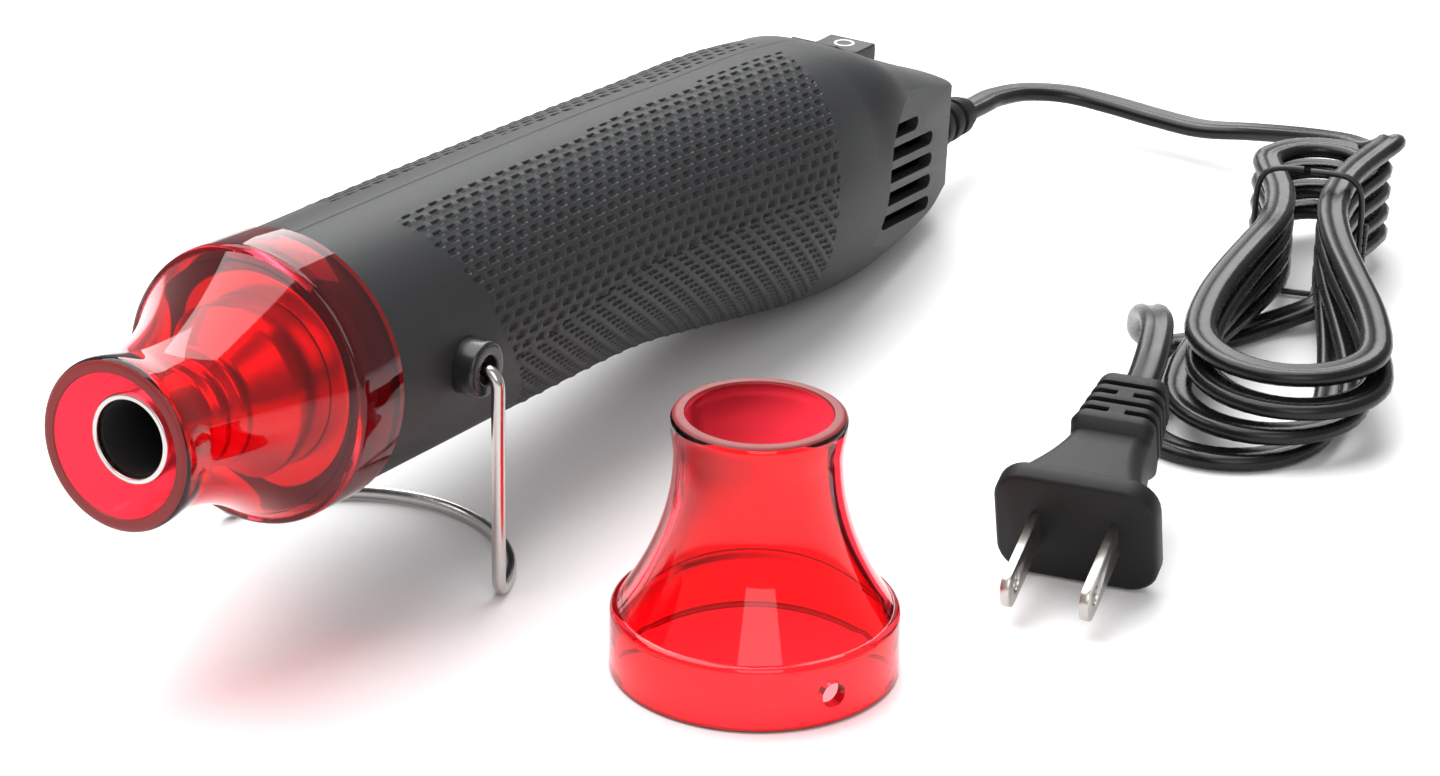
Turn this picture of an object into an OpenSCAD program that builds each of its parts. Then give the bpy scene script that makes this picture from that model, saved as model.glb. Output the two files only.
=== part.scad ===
// Embossing heat tool with a wire stand, a translucent nozzle guard, a spare guard and a tied cord.
// The tool lies along X with its nozzle at -X, the floor at z = 0, and all sizes in millimetres.

/* [Pose] */
// Height of the mouth's centre above the floor
mouth_z = 42.9; // [41:0.1:45]
// Angle by which the nozzle points up
tool_tilt = 4; // [3.8:0.05:4.2]

/* [Nozzle guard] */
// Length of a guard from its mouth to the end of its band
guard_l = 42; // [38:0.5:46]
// Outside diameter of the guard's band
band_d = 44; // [43:0.5:46]
// Length of the band
band_l = 9.5; // [8:0.5:12]
// Wall of the guard
guard_wall = 2; // [1.6:0.1:2.2]
// Outside diameter of the neck
neck_d = 25.4; // [24:0.2:27]
// Outside diameter of the mouth's lip
lip_d = 26.6; // [26:0.2:28]
// Diameter of the hole in the band
band_hole_d = 4; // [3:0.5:5]

/* [Spare guard] */
// Place of the spare guard along X, from under the mouth
spare_x = 63; // [58:1:68]
// Place of the spare guard along Y
spare_y = -71; // [-80:1:-68]

/* [Heater] */
// How far the steel nozzle sits back inside the mouth
nozzle_recess = 3.5; // [2:0.5:6]
// Outside diameter of the nozzle's tip
tip_d = 14; // [12:0.5:16]
// Outside diameter of the heater barrel
barrel_heat_d = 26; // [24:0.5:28]
// Sheet of the steel nozzle
steel_wall = 0.7; // [0.5:0.1:1]
// Diameter of the flange round the barrel
flange_d = 33; // [31:0.5:35]
// Thickness of the flange
flange_t = 1; // [0.8:0.1:1.4]
// Thickness of a mica board
mica_t = 0.8; // [0.6:0.1:1]
// Turns of the heating coil
coil_turns = 9; // [6:1:11]
// Diameter of the coil's wire
coil_wire_d = 0.8; // [0.6:0.1:1]

/* [Housing] */
// Outside diameter of the straight barrel
body_d = 42.4; // [41.6:0.2:43]
// Wall of the housing
wall = 2.2; // [1.8:0.1:2.4]
// Length of the tool from the mouth to the rear end
tool_l = 242; // [240:0.5:245]
// Length of the collar that the guard slides on to
spigot_l = 6.5; // [5:0.5:7]
// Gap between pieces that fit together
fit = 0.05; // [0.03:0.01:0.08]
// Gap between pieces that only lie near each other
gap = 0.3; // [0.25:0.05:0.4]

/* [Vents] */
// Height of a vent slot
slot_h = 2.6; // [2:0.1:2.8]
// Distance from one vent slot to the next
slot_pitch = 4.2; // [4:0.1:4.6]
// Number of vent slots on a side
slot_count = 5; // [3:1:5]

/* [Stand] */
// Diameter of the stand's wire
wire_d = 2.2; // [1.8:0.1:2.4]
// Place of the stand's pivot along the tool
pivot_s = 60; // [57:0.5:62]
// Diameter of a pivot boss
boss_d = 9; // [8:0.5:9.5]
// How far a boss stands out of the barrel
boss_out = 3.8; // [3.4:0.1:4.4]
// Radius of the bends in the wire
wire_bend = 2.6; // [2.4:0.1:3]

/* [Motor and fan] */
// Diameter of the motor's can
can_d = 24; // [22:0.5:25]
// Length of the motor's can
can_l = 30; // [28:0.5:32]
// Diameter of the motor's shaft
shaft_d = 2; // [1.6:0.1:2.3]
// Blades of the fan
blade_count = 7; // [5:1:9]
// Gap between the fan's blades and its duct
blade_gap = 0.6; // [0.4:0.1:1]

/* [Switch] */
// Width of the rocker
rocker_w = 9.4; // [8.6:0.2:10]
// Length of the rocker
rocker_l = 15; // [14:0.5:16]
// Angle by which the rocker tips
rocker_tip = 22; // [18:1:23]

/* [Cord] */
// Width of the flat twin cord
cord_w = 5.6; // [5.2:0.1:5.8]
// Thickness of the flat twin cord
cord_t = 2.8; // [2.6:0.1:3]
// Loops in the tied hank
hank_loops = 4; // [3:1:5]
// Step from one layer of the hank to the next
hank_step = 4.1; // [3.8:0.1:4.4]

/* [Plug] */
// Width of the plug's face
plug_w = 26.4; // [25:0.2:28]
// Height of the plug's face
plug_h = 20.4; // [19.6:0.2:21.6]
// Distance between the two blades
blade_pitch = 12.7; // [12.5:0.1:12.9]
// Length of the blades that stand out of the face
prong_l = 17; // [15:0.5:18]

/* [Hidden] */

$fn = 64;
far = 200;

function lerp(a, b, t) = a + (b - a) * t;
function clamp01(t) = min(1, max(0, t));
function smooth(t) = let (c = clamp01(t)) c * c * (3 - 2 * c);
function unit(v) = v / norm(v);

module placed() translate([-foot_x, -foot_y, 0]) children();
module tool() placed() translate([0, 0, mouth_z]) rotate([0, tool_tilt, 0]) children();
// Turns a solid drawn along Z so that it lies along the tool from the place s.
module along(s = 0) translate([s, 0, 0]) rotate([0, 90, 0]) children();
// A solid of revolution about the tool's axis, from points given as [place along the tool, radius].
module turned(points, fn = 96) along() rotate_extrude($fn = fn) polygon([for (p = points) [p[1], p[0]]]);
module ring(r_out, r_in, s, l) along(s) difference() {
    cylinder(r = r_out, h = l);
    translate([0, 0, -1]) cylinder(r = r_in, h = l + 2);
}
// A closed tube through rings of points, every ring with the same count.
module tube(rings) {
    n = len(rings[0]);
    last = len(rings) - 1;
    polyhedron(
        points = [for (ring = rings) each ring],
        faces = [
            for (k = [1 : n - 2]) [0, k + 1, k],
            for (k = [1 : n - 2]) [last * n, last * n + k, last * n + k + 1],
            for (i = [0 : last - 1], k = [0 : n - 1]) let (a = i * n + k, b = i * n + (k + 1) % n) each
                [[a, b, a + n], [b, b + n, a + n]]
        ],
        convexity = 10);
}
// The direction of a path at its point i, halfway between the two steps that meet there.
function heading(path, i) = let (m = len(path) - 1)
    i == 0 ? unit(path[1] - path[0]) : i == m ? unit(path[m] - path[m - 1])
    : unit(unit(path[i + 1] - path[i]) + unit(path[i] - path[i - 1]));
// One ring round a path point: side is level and up is square to it, so a flat cord lies flat.
function level_ring(p, dir, half_w, half_t, sides, turn = 0) =
    let (side = unit(cross(dir, [0, 0, 1])), up = cross(side, dir))
    [for (k = [0 : sides - 1]) let (a = turn + 360 * k / sides) p + side * half_w * cos(a) + up * half_t * sin(a)];
// A smooth line through hand-chosen points, with steps points for each stretch.
function through(points, steps) = [
    for (i = [0 : len(points) - 2], j = [0 : steps - 1])
        let (a = points[max(0, i - 1)], b = points[i], c = points[i + 1], d = points[min(len(points) - 1, i + 2)],
            t = j / steps)
        0.5 * (2 * b + (c - a) * t + (2 * a - 5 * b + 4 * c - d) * t * t + (3 * b - a - 3 * c + d) * t * t * t),
    points[len(points) - 1]];

// Guard: outside from the mouth to the band, then back along the inside.
band_r = band_d / 2;
neck_r = neck_d / 2;
lip_r = lip_d / 2;
lip_round = 1.1;
neck_s = 7;
shoulder = 1.1;
bell_s = guard_l - band_l - shoulder;
band_in = band_r - guard_wall;
function bell_r(s) = neck_r + (band_r - shoulder - neck_r) * pow(clamp01((s - neck_s) / (bell_s - neck_s)), 2)
    + (lip_r - neck_r) * (1 - smooth((s - lip_round) / (neck_s - lip_round)));
bell_steps = 12;
bell_stations = [for (i = [0 : bell_steps]) lerp(lip_round, bell_s, i / bell_steps)];
guard_outline = [
    for (a = [0 : 30 : 60]) [lip_round * (1 - cos(a)), lip_r - lip_round * (1 - sin(a))],
    for (s = bell_stations) [s, bell_r(s)],
    for (a = [30 : 30 : 90]) [bell_s + shoulder * (1 - cos(a)), band_r - shoulder * (1 - sin(a))],
    [guard_l, band_r],
    [guard_l, band_in],
    [bell_s + guard_wall, band_in],
    for (i = [bell_steps : -1 : 0])
        [bell_stations[i], bell_r(bell_stations[i]) - guard_wall * (i == 0 ? 1 : 1.1)],
    [0, lip_r - guard_wall - lip_round * 0.3]];
module guard(hole_angle) difference() {
    turned(guard_outline);
    translate([guard_l - band_l / 2, 0, 0]) rotate([hole_angle, 0, 0]) cylinder(d = band_hole_d, h = band_r + 2);
}
module nozzle_guard() tool() color([0.85, 0.1, 0.1, 0.6]) guard(180);
spare_hole_angle = -117;
module spare_nozzle_guard() placed() translate([spare_x, spare_y, guard_l]) rotate([0, 0, spare_hole_angle])
    color([0.9, 0.1, 0.12, 0.6]) rotate([0, 90, 0]) guard(0);

// Heater: a stepped steel nozzle, its flange, and the boards that carry the coil.
tip_r = tip_d / 2;
heat_r = barrel_heat_d / 2;
tip_l = 10;
bead = 0.35;
bead_l = 1.3;
rib_l = 1.7;
rib_step = 1.1;
cone_s = 22;
cone_l = 5;
heat_end = 74;
spigot_s = guard_l + gap - spigot_l;
nozzle_outline = [
    [nozzle_recess, tip_r], [nozzle_recess + bead_l, tip_r], [nozzle_recess + bead_l, tip_r - bead],
    [nozzle_recess + tip_l, tip_r - bead],
    for (k = [0 : 1]) let (s = nozzle_recess + tip_l + 1 + k * 2.3 * rib_l, r = tip_r + k * rib_step) each
        [[s, r + rib_step], [s + rib_l, r + rib_step], [s + 1.3 * rib_l, r + 0.3], [s + 1.7 * rib_l, r + 0.3]],
    [cone_s + cone_l, heat_r], [heat_end, heat_r]];
tip_bore_r = tip_r - bead - steel_wall;
nozzle_inside = [
    [heat_end, heat_r - steel_wall], [cone_s + cone_l + 0.5, heat_r - steel_wall],
    [cone_s, tip_r + rib_step - steel_wall], [nozzle_recess + tip_l + 1.2, tip_bore_r],
    [nozzle_recess, tip_bore_r]];
module nozzle_tube() tool() color("lightgray") turned(concat(nozzle_outline, nozzle_inside));
module heater_flange() tool() color("silver") ring(flange_d / 2, heat_r + fit, spigot_s - flange_t, flange_t);

sleeve_s = 29;
sleeve_l = 44;
sleeve_t = 0.5;
sleeve_r = heat_r - steel_wall - fit;
module insulator_sleeve() tool() color("tan") ring(sleeve_r, sleeve_r - sleeve_t, sleeve_s, sleeve_l);

board_s = 30;
board_l = 42;
board_half = sleeve_r - sleeve_t - fit;
coil_s = 35;
coil_l = 31;
coil_half = 7.2;
coil_r = coil_half + gap + coil_wire_d / 2;
tail_l = 8;
tail_half = 5;
// A board is wide at its two ends and narrow where the coil goes round it.
module board_shape() difference() {
    translate([board_s, -board_half]) square([board_l, 2 * board_half]);
    for (m = [0, 1]) mirror([0, m]) translate([coil_s - 1, coil_half]) square([coil_l + 2, board_half]);
}
half_lap = board_l / 2;
module mica_board_upright() tool() color("wheat") difference() {
    rotate([90, 0, 0]) linear_extrude(mica_t, center = true) board_shape();
    translate([board_s - 1, -mica_t, -mica_t / 2 - fit]) cube([half_lap + 1, 2 * mica_t, mica_t + 2 * fit]);
}
module mica_board_level() tool() color("wheat") difference() {
    linear_extrude(mica_t, center = true) {
        board_shape();
        translate([board_s + board_l - 0.01, -tail_half]) square([tail_l, 2 * tail_half]);
    }
    translate([board_s + half_lap + fit, -mica_t / 2 - fit, -mica_t])
        cube([half_lap, mica_t + 2 * fit, 2 * mica_t]);
}
coil_sides = 5;
coil_rings = 12;
coil_count = coil_turns * coil_rings;
coil_path = [for (i = [0 : coil_count]) let (a = 360 * i / coil_rings)
    [coil_s + coil_wire_d / 2 + (coil_l - coil_wire_d) * i / coil_count, coil_r * sin(a), coil_r * cos(a)]];
module heating_coil() tool() color("gray") tube([for (i = [0 : len(coil_path) - 1])
    let (p = coil_path[i], out = unit([0, p[1], p[2]]), side = cross(heading(coil_path, i), out))
    [for (k = [0 : coil_sides - 1]) let (a = -360 * k / coil_sides)
        p + coil_wire_d / 2 * (out * cos(a) + side * sin(a))]]);
cutout_r = 2.6;
cutout_h = 2.4;
module thermal_cutout() tool() color("darkgray")
    translate([board_s + board_l + tail_l - cutout_r - 0.6, 0, mica_t / 2]) cylinder(r = cutout_r, h = cutout_h);

// Housing: sections along the tool, each [place, half width, top, bottom, squareness].
body_r = body_d / 2;
body_s = guard_l + gap;
belly = -29.8;
sections = [
    [body_s - 2, body_r, body_r, -body_r, 2],
    [66, body_r, body_r, -body_r, 2],
    [90, body_r, body_r - 0.1, -body_r, 2],
    [125, body_r, 20.6, -21.6, 2],
    [150, 22, 19.8, -24.4, 2.05],
    [176, 22.4, 19.1, -28, 2.15],
    [196, 20.8, 16.8, belly + 0.2, 2.25],
    [212, 18.6, 11.2, belly + 1.8, 2.35],
    [228, 16.2, 4.6, belly + 5.2, 2.5],
    [236, 14.4, 1.8, belly + 8.2, 2.5],
    [tool_l, 12.8, -0.6, belly + 10.4, 2.5]];
profile = through(sections, 4);
function at(s, i) = lookup(s, [for (q = profile) [q[0], q[i]]]);

// Two limits on the half width: a flat panel on the side for the vents, and a rounded rear end.
panel_s = 186;
panel_y = 20.6;
panel_angle = 11;
panel_front = 193;
end_half = 12;
end_round = 10;
end_s = tool_l - end_round;
function panel_limit(s, inset) = s < panel_front ? far
    : panel_y - inset / cos(panel_angle) - (s - panel_s) * tan(panel_angle);
function end_limit(s, inset) = s < end_s ? far
    : end_half - end_round + sqrt(max(0, pow(end_round - inset, 2) - pow(s - end_s, 2)));
function side_limit(s, inset) = min(panel_limit(s, inset), end_limit(s, inset));

// Half a section, from the bottom round the +Y side to the top.
ring_steps = 20;
function half_section(s, inset) =
    let (b = at(s, 1) - inset, top = at(s, 2) - inset, low = at(s, 3) + inset, e = 2 / at(s, 4),
        mid = (top + low) / 2, h = (top - low) / 2, limit = side_limit(s, inset))
    [for (k = [0 : ring_steps]) let (a = 180 * k / ring_steps - 90, up = sin(a))
        [s, min(limit, b * pow(cos(a), e)), mid + h * sign(up) * pow(abs(up), e)]];
// The outside of the half at the place s and the height w, without its two limits.
function wall_y(s, w) = let (top = at(s, 2), low = at(s, 3), r = abs(w - (top + low) / 2) / ((top - low) / 2))
    min(side_limit(s, 0), at(s, 1) * pow(1 - pow(r, at(s, 4)), 1 / at(s, 4)));
inner_end = tool_l - wall;
stations = [body_s, 66, 90, 108, 125, 138, 150, 163, 176, 186, 191, 194, 200, 212, 222,
    end_s, end_s + 2.6, end_s + 5, end_s + 6.8, inner_end, tool_l - 1, tool_l - 0.3, tool_l];
cup_rings = len([for (s = stations) if (s <= inner_end) s]);

// One half as a closed cup: outside rings all along, inside rings up to the rear wall, flat on the middle plane.
module half_cup() {
    n = ring_steps + 1;
    rings = len(stations);
    m = cup_rings - 1;
    function o(i, k) = i * n + k;
    function j(i, k) = (rings + i) * n + k;
    last = ring_steps;
    polyhedron(
        points = [
            for (s = stations) each half_section(s, 0),
            for (i = [0 : m]) each half_section(stations[i], wall)],
        faces = [
            for (i = [0 : rings - 2], k = [0 : last - 1]) each
                [[o(i, k), o(i + 1, k), o(i, k + 1)], [o(i, k + 1), o(i + 1, k), o(i + 1, k + 1)]],
            for (i = [0 : m - 1], k = [0 : last - 1]) each
                [[j(i, k + 1), j(i + 1, k + 1), j(i, k)], [j(i, k), j(i + 1, k + 1), j(i + 1, k)]],
            for (i = [0 : m - 1]) each [
                [o(i, last), o(i + 1, last), j(i, last)], [j(i, last), o(i + 1, last), j(i + 1, last)],
                [j(i, 0), j(i + 1, 0), o(i, 0)], [o(i, 0), j(i + 1, 0), o(i + 1, 0)]],
            for (k = [0 : last - 1]) each [[o(0, k), o(0, k + 1), j(0, k + 1)], [o(0, k), j(0, k + 1), j(0, k)]],
            for (k = [1 : last - 1]) [o(rings - 1, 0), o(rings - 1, k + 1), o(rings - 1, k)],
            for (k = [1 : last - 1]) [j(m, 0), j(m, k), j(m, k + 1)],
            for (i = [m + 1 : rings - 2]) each
                [[o(i, last), o(i + 1, last), o(i, 0)], [o(i, 0), o(i + 1, last), o(i + 1, 0)]],
            [o(m + 1, 0), o(m, 0), j(m, 0)],
            [o(m + 1, 0), j(m, 0), j(m, last)],
            [o(m + 1, 0), j(m, last), o(m, last)],
            [o(m + 1, 0), o(m, last), o(m + 1, last)]],
        convexity = 6);
}

// Vent slots in the flat panel: each runs between two distances along it.
slot_slope = 7.9;
slot_run = [[14.2, 31.5], [12.6, 41.6], [12.4, 42], [12.2, 42], [13, 41.8]];
slot_top = 3.9;
module slots() translate([panel_s, panel_y, 0]) rotate([0, 0, -panel_angle]) translate([0, 2, 0])
    rotate([90, 0, 0]) linear_extrude(wall + 4)
        for (i = [0 : slot_count - 1]) let (u = slot_run[i], l = u[1] - u[0] - slot_h / 2)
            translate([0, slot_top - i * slot_pitch]) rotate(-slot_slope) translate([u[0], 0]) {
                translate([0, -slot_h / 2]) square([l, slot_h]);
                translate([l, 0]) circle(d = slot_h, $fn = 32);
            }

// Screw posts on the line where the halves meet: each [place along the tool, height].
posts = [[137, 9], [137, -9], [184, -19], [229, -3]];
post_r = 3.2;
screw_r = 1.3;
head_r = 2.6;
head_h = 1.8;
pilot_deep = 8;
seat_t = 3;
function post_end(q) = wall_y(q[0], q[1] + (q[1] > -6 ? 1 : -1) * post_r) - wall / 4;

gland_w = -13;
gland_r = 3.4;
switch_s = 209.5;
switch_w = 12.2;
switch_slope = 22;
rail_w = 3.6;
rail_t = 1;
rail_end = 20.8;
module rail() translate([board_pcb_s - 1, board_pcb_w / 2 - 1, rail_w])
    cube([board_pcb_l + 2, rail_end - board_pcb_w / 2 + 1, rail_t]);
module boss_bore() translate([pivot_s, 0, 0]) rotate([-90, 0, 0]) cylinder(r = boss_d / 2 + fit, h = far);
module floor_cut() rotate([0, -tool_tilt, 0]) translate([0, -far, -mouth_z - far]) cube([2 * far, 2 * far, far]);
module half_shell() difference() {
    union() {
        half_cup();
        for (q = posts) translate([q[0], 0, q[1]]) rotate([-90, 0, 0]) cylinder(r = post_r, h = post_end(q));
        rail();
    }
    slots();
    along(tool_l - 2 * wall) translate([-gland_w, 0, 0]) cylinder(r = gland_r + fit, h = 3 * wall);
    at_switch() translate([-switch_out_l / 2 - gap, -switch_out_w / 2 - gap, -switch_deep / 2])
        cube([switch_out_l + 2 * gap, switch_out_w + 2 * gap, 3 * switch_deep]);
    boss_bore();
    floor_cut();
}
module housing_left() tool() color([0.25, 0.26, 0.27]) difference() {
    mirror([0, 1, 0]) half_shell();
    for (q = posts) translate([q[0], 1, q[1]]) rotate([90, 0, 0]) cylinder(r = screw_r - 0.1, h = pilot_deep + 1);
}
module housing_right() tool() color([0.27, 0.28, 0.29]) difference() {
    half_shell();
    for (q = posts) translate([q[0], 0, q[1]]) rotate([-90, 0, 0]) {
        translate([0, 0, -1]) cylinder(r = screw_r + 0.2, h = far);
        translate([0, 0, post_end(q) - seat_t]) cylinder(r = head_r + 0.2, h = far);
    }
}
module housing_screws() tool() color("silver") for (q = posts) translate([q[0], 0, q[1]]) rotate([-90, 0, 0])
    difference() {
        union() {
            translate([0, 0, 1 - pilot_deep])
                cylinder(r = screw_r - 0.15, h = post_end(q) - seat_t + pilot_deep - 0.5);
            translate([0, 0, post_end(q) - seat_t]) cylinder(r = head_r, h = head_h);
        }
        for (a = [0, 90]) rotate(a) translate([-1.6, -0.3, post_end(q) - seat_t + 1]) cube([3.2, 0.6, 2]);
    }
module front_collar() tool() color([0.1, 0.1, 0.11]) turned([
    [spigot_s, heat_r + gap], [spigot_s, band_in - fit], [body_s, band_in - fit],
    [body_s, body_r - wall - gap], [body_s + 7, body_r - wall - gap], [body_s + 7, heat_r + gap]]);

// Stand: two bosses in the barrel's sides and a wire that bends down, under and round.
boss_end = body_r + boss_out;
boss_in = 15.5;
leg_y = boss_end + wire_d / 2 + 0.6;
pin_in = 17.4;
pivot_z = mouth_z - pivot_s * sin(tool_tilt);
pivot_x = pivot_s * cos(tool_tilt);
boss_dish = 1.4;
boss_dish_clear = 1.2;
module boss() difference() {
    translate([pivot_s, -boss_in, 0]) rotate([90, 0, 0]) cylinder(d = boss_d, h = boss_end - boss_in);
    translate([pivot_s, -pin_in + gap, 0]) rotate([90, 0, 0]) cylinder(r = wire_d / 2 + fit, h = far);
    translate([pivot_s, -boss_end + boss_dish, 0]) rotate([90, 0, 0])
        cylinder(r = wire_d / 2 + boss_dish_clear, h = far);
}
module stand_boss_left() tool() color([0.08, 0.08, 0.09]) boss();
module stand_boss_right() tool() color([0.08, 0.08, 0.09]) mirror([0, 1, 0]) boss();
leg_low = wire_d / 2 + wire_bend;
pin_end = leg_y - wire_bend;
// On the floor each leg turns inwards into one arc that joins the two.
foot_turn = 18;
foot_dir = [cos(foot_turn), sin(foot_turn), 0];
foot_start = [0, -leg_y, 0] + wire_bend * foot_dir;
foot_r = -foot_start[1] / cos(foot_turn);
foot_mid = foot_start[0] - foot_r * sin(foot_turn);
// The near half of the wire, from its pin down the leg, with the pivot at the origin and the floor pivot_z below.
side_path = concat(
    [[0, 1 - pin_end, 0]],
    [for (a = [0 : 15 : 90]) [0, -pin_end - wire_bend * sin(a), wire_bend * (cos(a) - 1)]],
    [for (a = [0 : 15 : 90])
        [0, -leg_y, leg_low - pivot_z - wire_bend * sin(a)] + wire_bend * (1 - cos(a)) * foot_dir]);
arc_step = (180 - 2 * foot_turn) / 16;
foot_arc = [for (i = [1 : 15]) let (a = foot_turn - 90 + i * arc_step)
    [foot_mid + foot_r * cos(a), foot_r * sin(a), wire_d / 2 - pivot_z]];
wire_path = concat(side_path, foot_arc,
    [for (i = [len(side_path) - 1 : -1 : 0]) let (p = side_path[i]) [p[0], -p[1], p[2]]]);
wire_skin = 0.02;
wire_sides = 12;
module stand_wire() placed() translate([pivot_x, 0, pivot_z]) color("lightgray") union() {
    tube([for (i = [0 : len(wire_path) - 1])
        let (dir = heading(wire_path, i), side = unit(cross(dir, [1, 0, 0])), up = cross(side, dir))
        [for (k = [0 : wire_sides - 1]) let (a = 360 * k / wire_sides)
            wire_path[i] + (wire_d / 2 - wire_skin) * (side * cos(a) + up * sin(a))]]);
    for (m = [0, 1]) mirror([0, m, 0]) translate([0, -pin_end, 0])
        rotate([-90, 0, 0]) cylinder(d = wire_d, h = pin_end - pin_in);
}

// Fan, its duct and the motor, all on the tool's axis.
duct_s = 70;
duct_end = 98;
duct_r = body_r - wall - gap;
duct_wall = 1.3;
duct_neck_l = 6;
duct_cone_l = 5;
spider_s = 98;
spider_arm = 3;
spider_t = 2.5;
can_s = 100.5;
can_r = can_d / 2;
shaft_r = shaft_d / 2;
nose_r = 3;
fan_s = 85;
fan_l = 9;
fan_r = duct_r - duct_wall - blade_gap;
hub_r = 5;
blade_skew = 55;
blade_sheet = 1;
blade_chord = 1.1 * fan_l;
can_wall = 1;
can_front_t = 1.2;
end_cap_t = 2;
duct_neck_r = heat_r + gap;
duct_cone_s = duct_s + duct_neck_l + duct_cone_l;
module fan_duct() tool() color([0.9, 0.88, 0.8]) {
    turned([
        [duct_s, duct_neck_r], [duct_s, duct_neck_r + duct_wall], [duct_s + duct_neck_l, duct_neck_r + duct_wall],
        [duct_cone_s, duct_r], [duct_end + spider_t, duct_r], [duct_end + spider_t, duct_r - duct_wall],
        [duct_cone_s + 1, duct_r - duct_wall], [duct_s + duct_neck_l + 0.5, duct_neck_r]]);
    ring(can_r - can_wall, nose_r + fit, spider_s, spider_t);
    for (a = [0 : 120 : 240]) rotate([a, 0, 0]) translate([spider_s, -spider_arm / 2, can_r - 2 * can_wall])
        cube([spider_t, spider_arm, duct_r - can_r + 1.5 * can_wall]);
}
module fan_impeller() tool() color([0.85, 0.85, 0.85]) difference() {
    along(fan_s) intersection() {
        union() {
            cylinder(r = hub_r, h = fan_l);
            for (i = [0 : blade_count - 1]) rotate(i * 360 / blade_count) translate([hub_r - 0.5, 0, fan_l / 2])
                rotate([blade_skew, 0, 0]) translate([0, -blade_chord / 2, -blade_sheet / 2])
                    cube([far, blade_chord, blade_sheet]);
        }
        cylinder(r = fan_r, h = fan_l);
    }
    along(fan_s - 1) cylinder(r = shaft_r + fit, h = fan_l + 2);
}
shaft_s = fan_s - 1;
module motor_shaft() tool() color("silver") along(shaft_s) cylinder(r = shaft_r, h = can_s + can_l + 2 - shaft_s);
magnet_front = 3;
magnet_rear = 4;
magnet_t = 2.6;
magnet_split = 6;
rotor_in = 1;
rotor_gap = 0.8;
rotor_r = can_r - can_wall - magnet_t - rotor_gap;
magnet_l = can_l - magnet_front - magnet_rear;
module motor_rotor() tool() color("peru")
    ring(rotor_r, shaft_r + fit, can_s + magnet_front + rotor_in, magnet_l - 2 * rotor_in);
module motor_magnets() tool() color("dimgray") difference() {
    ring(can_r - can_wall - fit, can_r - can_wall - magnet_t, can_s + magnet_front, magnet_l);
    translate([can_s, -far / 2, -magnet_split / 2]) cube([far, far, magnet_split]);
}
module motor_can() tool() color("lightslategray") turned([
    [can_s - spider_t, shaft_r + fit], [can_s - spider_t, nose_r], [can_s, nose_r], [can_s, can_r],
    [can_s + can_l, can_r], [can_s + can_l, can_r - can_wall], [can_s + can_front_t, can_r - can_wall],
    [can_s + can_front_t, shaft_r + fit]]);
module motor_end_cap() tool() color([0.15, 0.15, 0.16])
    ring(can_r - can_wall - fit, shaft_r + fit, can_s + can_l - end_cap_t, end_cap_t);

// Electronics: a board on the housing's rails with four diodes.
board_pcb_s = 143;
board_pcb_l = 24;
board_pcb_w = 26;
pcb_t = 1.6;
pcb_z = rail_w + rail_t;
module rectifier_board() tool() color("darkgreen") translate([board_pcb_s, -board_pcb_w / 2, pcb_z])
    cube([board_pcb_l, board_pcb_w, pcb_t]);
diode_r = 1.3;
diode_l = 4.5;
diode_s = 4;
diode_step = 5;
module rectifier_diodes() tool() color([0.12, 0.12, 0.12]) for (i = [0 : 3])
    translate([board_pcb_s + diode_s + i * diode_step, -diode_l / 2, pcb_z + pcb_t + diode_r + fit])
        rotate([-90, 0, 0]) cylinder(r = diode_r, h = diode_l);

// Switch: drawn with the housing's sloping top as its plane z = 0.
module at_switch() translate([switch_s, 0, switch_w]) rotate([0, switch_slope, 0]) children();
rocker_deep = 4.6;
rocker_high = 1.6;
rocker_mid = 0.1;
rocker_pivot = -2;
rocker_reach = norm([rocker_l / 2, rocker_high - rocker_pivot]);
cavity_l = 2 * (rocker_reach + gap);
cavity_w = rocker_w + 2 * gap;
cavity_deep = 6.2;
switch_wall = 1.1;
switch_out_l = cavity_l + 2 * switch_wall;
switch_out_w = cavity_w + 2 * switch_wall;
switch_deep = 10;
switch_sink = -1;
pin_r = 1;
module switch_body() tool() at_switch() color([0.06, 0.06, 0.07]) difference() {
    translate([-switch_out_l / 2, -switch_out_w / 2, -switch_deep])
        cube([switch_out_l, switch_out_w, switch_deep + switch_sink]);
    translate([-cavity_l / 2, -cavity_w / 2, -cavity_deep]) cube([cavity_l, cavity_w, far]);
    translate([0, 0, rocker_pivot]) rotate([90, 0, 0]) cylinder(r = pin_r + fit, h = far, center = true);
}
end_angle = atan2(rocker_high - rocker_pivot, rocker_l / 2);
foot_in = 1.6;
rocker_outline = [
    [0, rocker_mid],
    for (a = [end_angle : -7.5 : -18]) [rocker_reach * cos(a), rocker_pivot + rocker_reach * sin(a)],
    [rocker_l / 2 - foot_in, -rocker_deep],
    [foot_in - rocker_l / 2, -rocker_deep],
    for (a = [-18 : 7.5 : end_angle]) [-rocker_reach * cos(a), rocker_pivot + rocker_reach * sin(a)]];
rocker_pin_l = cavity_w + 2 * switch_wall - 0.4;
module rocker_button() tool() at_switch() color([0.1, 0.1, 0.11]) translate([0, 0, rocker_pivot])
    rotate([0, -rocker_tip / 2, 0]) translate([0, 0, -rocker_pivot]) {
        rotate([90, 0, 0]) linear_extrude(rocker_w, center = true) polygon(rocker_outline);
        translate([0, 0, rocker_pivot]) rotate([90, 0, 0]) cylinder(r = pin_r, h = rocker_pin_l, center = true);
    }
terminal_l = 7;
terminal_w = 4.8;
terminal_t = 0.8;
terminal_x = 4.5;
module switch_terminals() tool() at_switch() color("goldenrod") for (x = [-terminal_x, terminal_x])
    translate([x - terminal_w / 2, -terminal_t / 2, -switch_deep - terminal_l])
        cube([terminal_w, terminal_t, terminal_l]);

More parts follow.
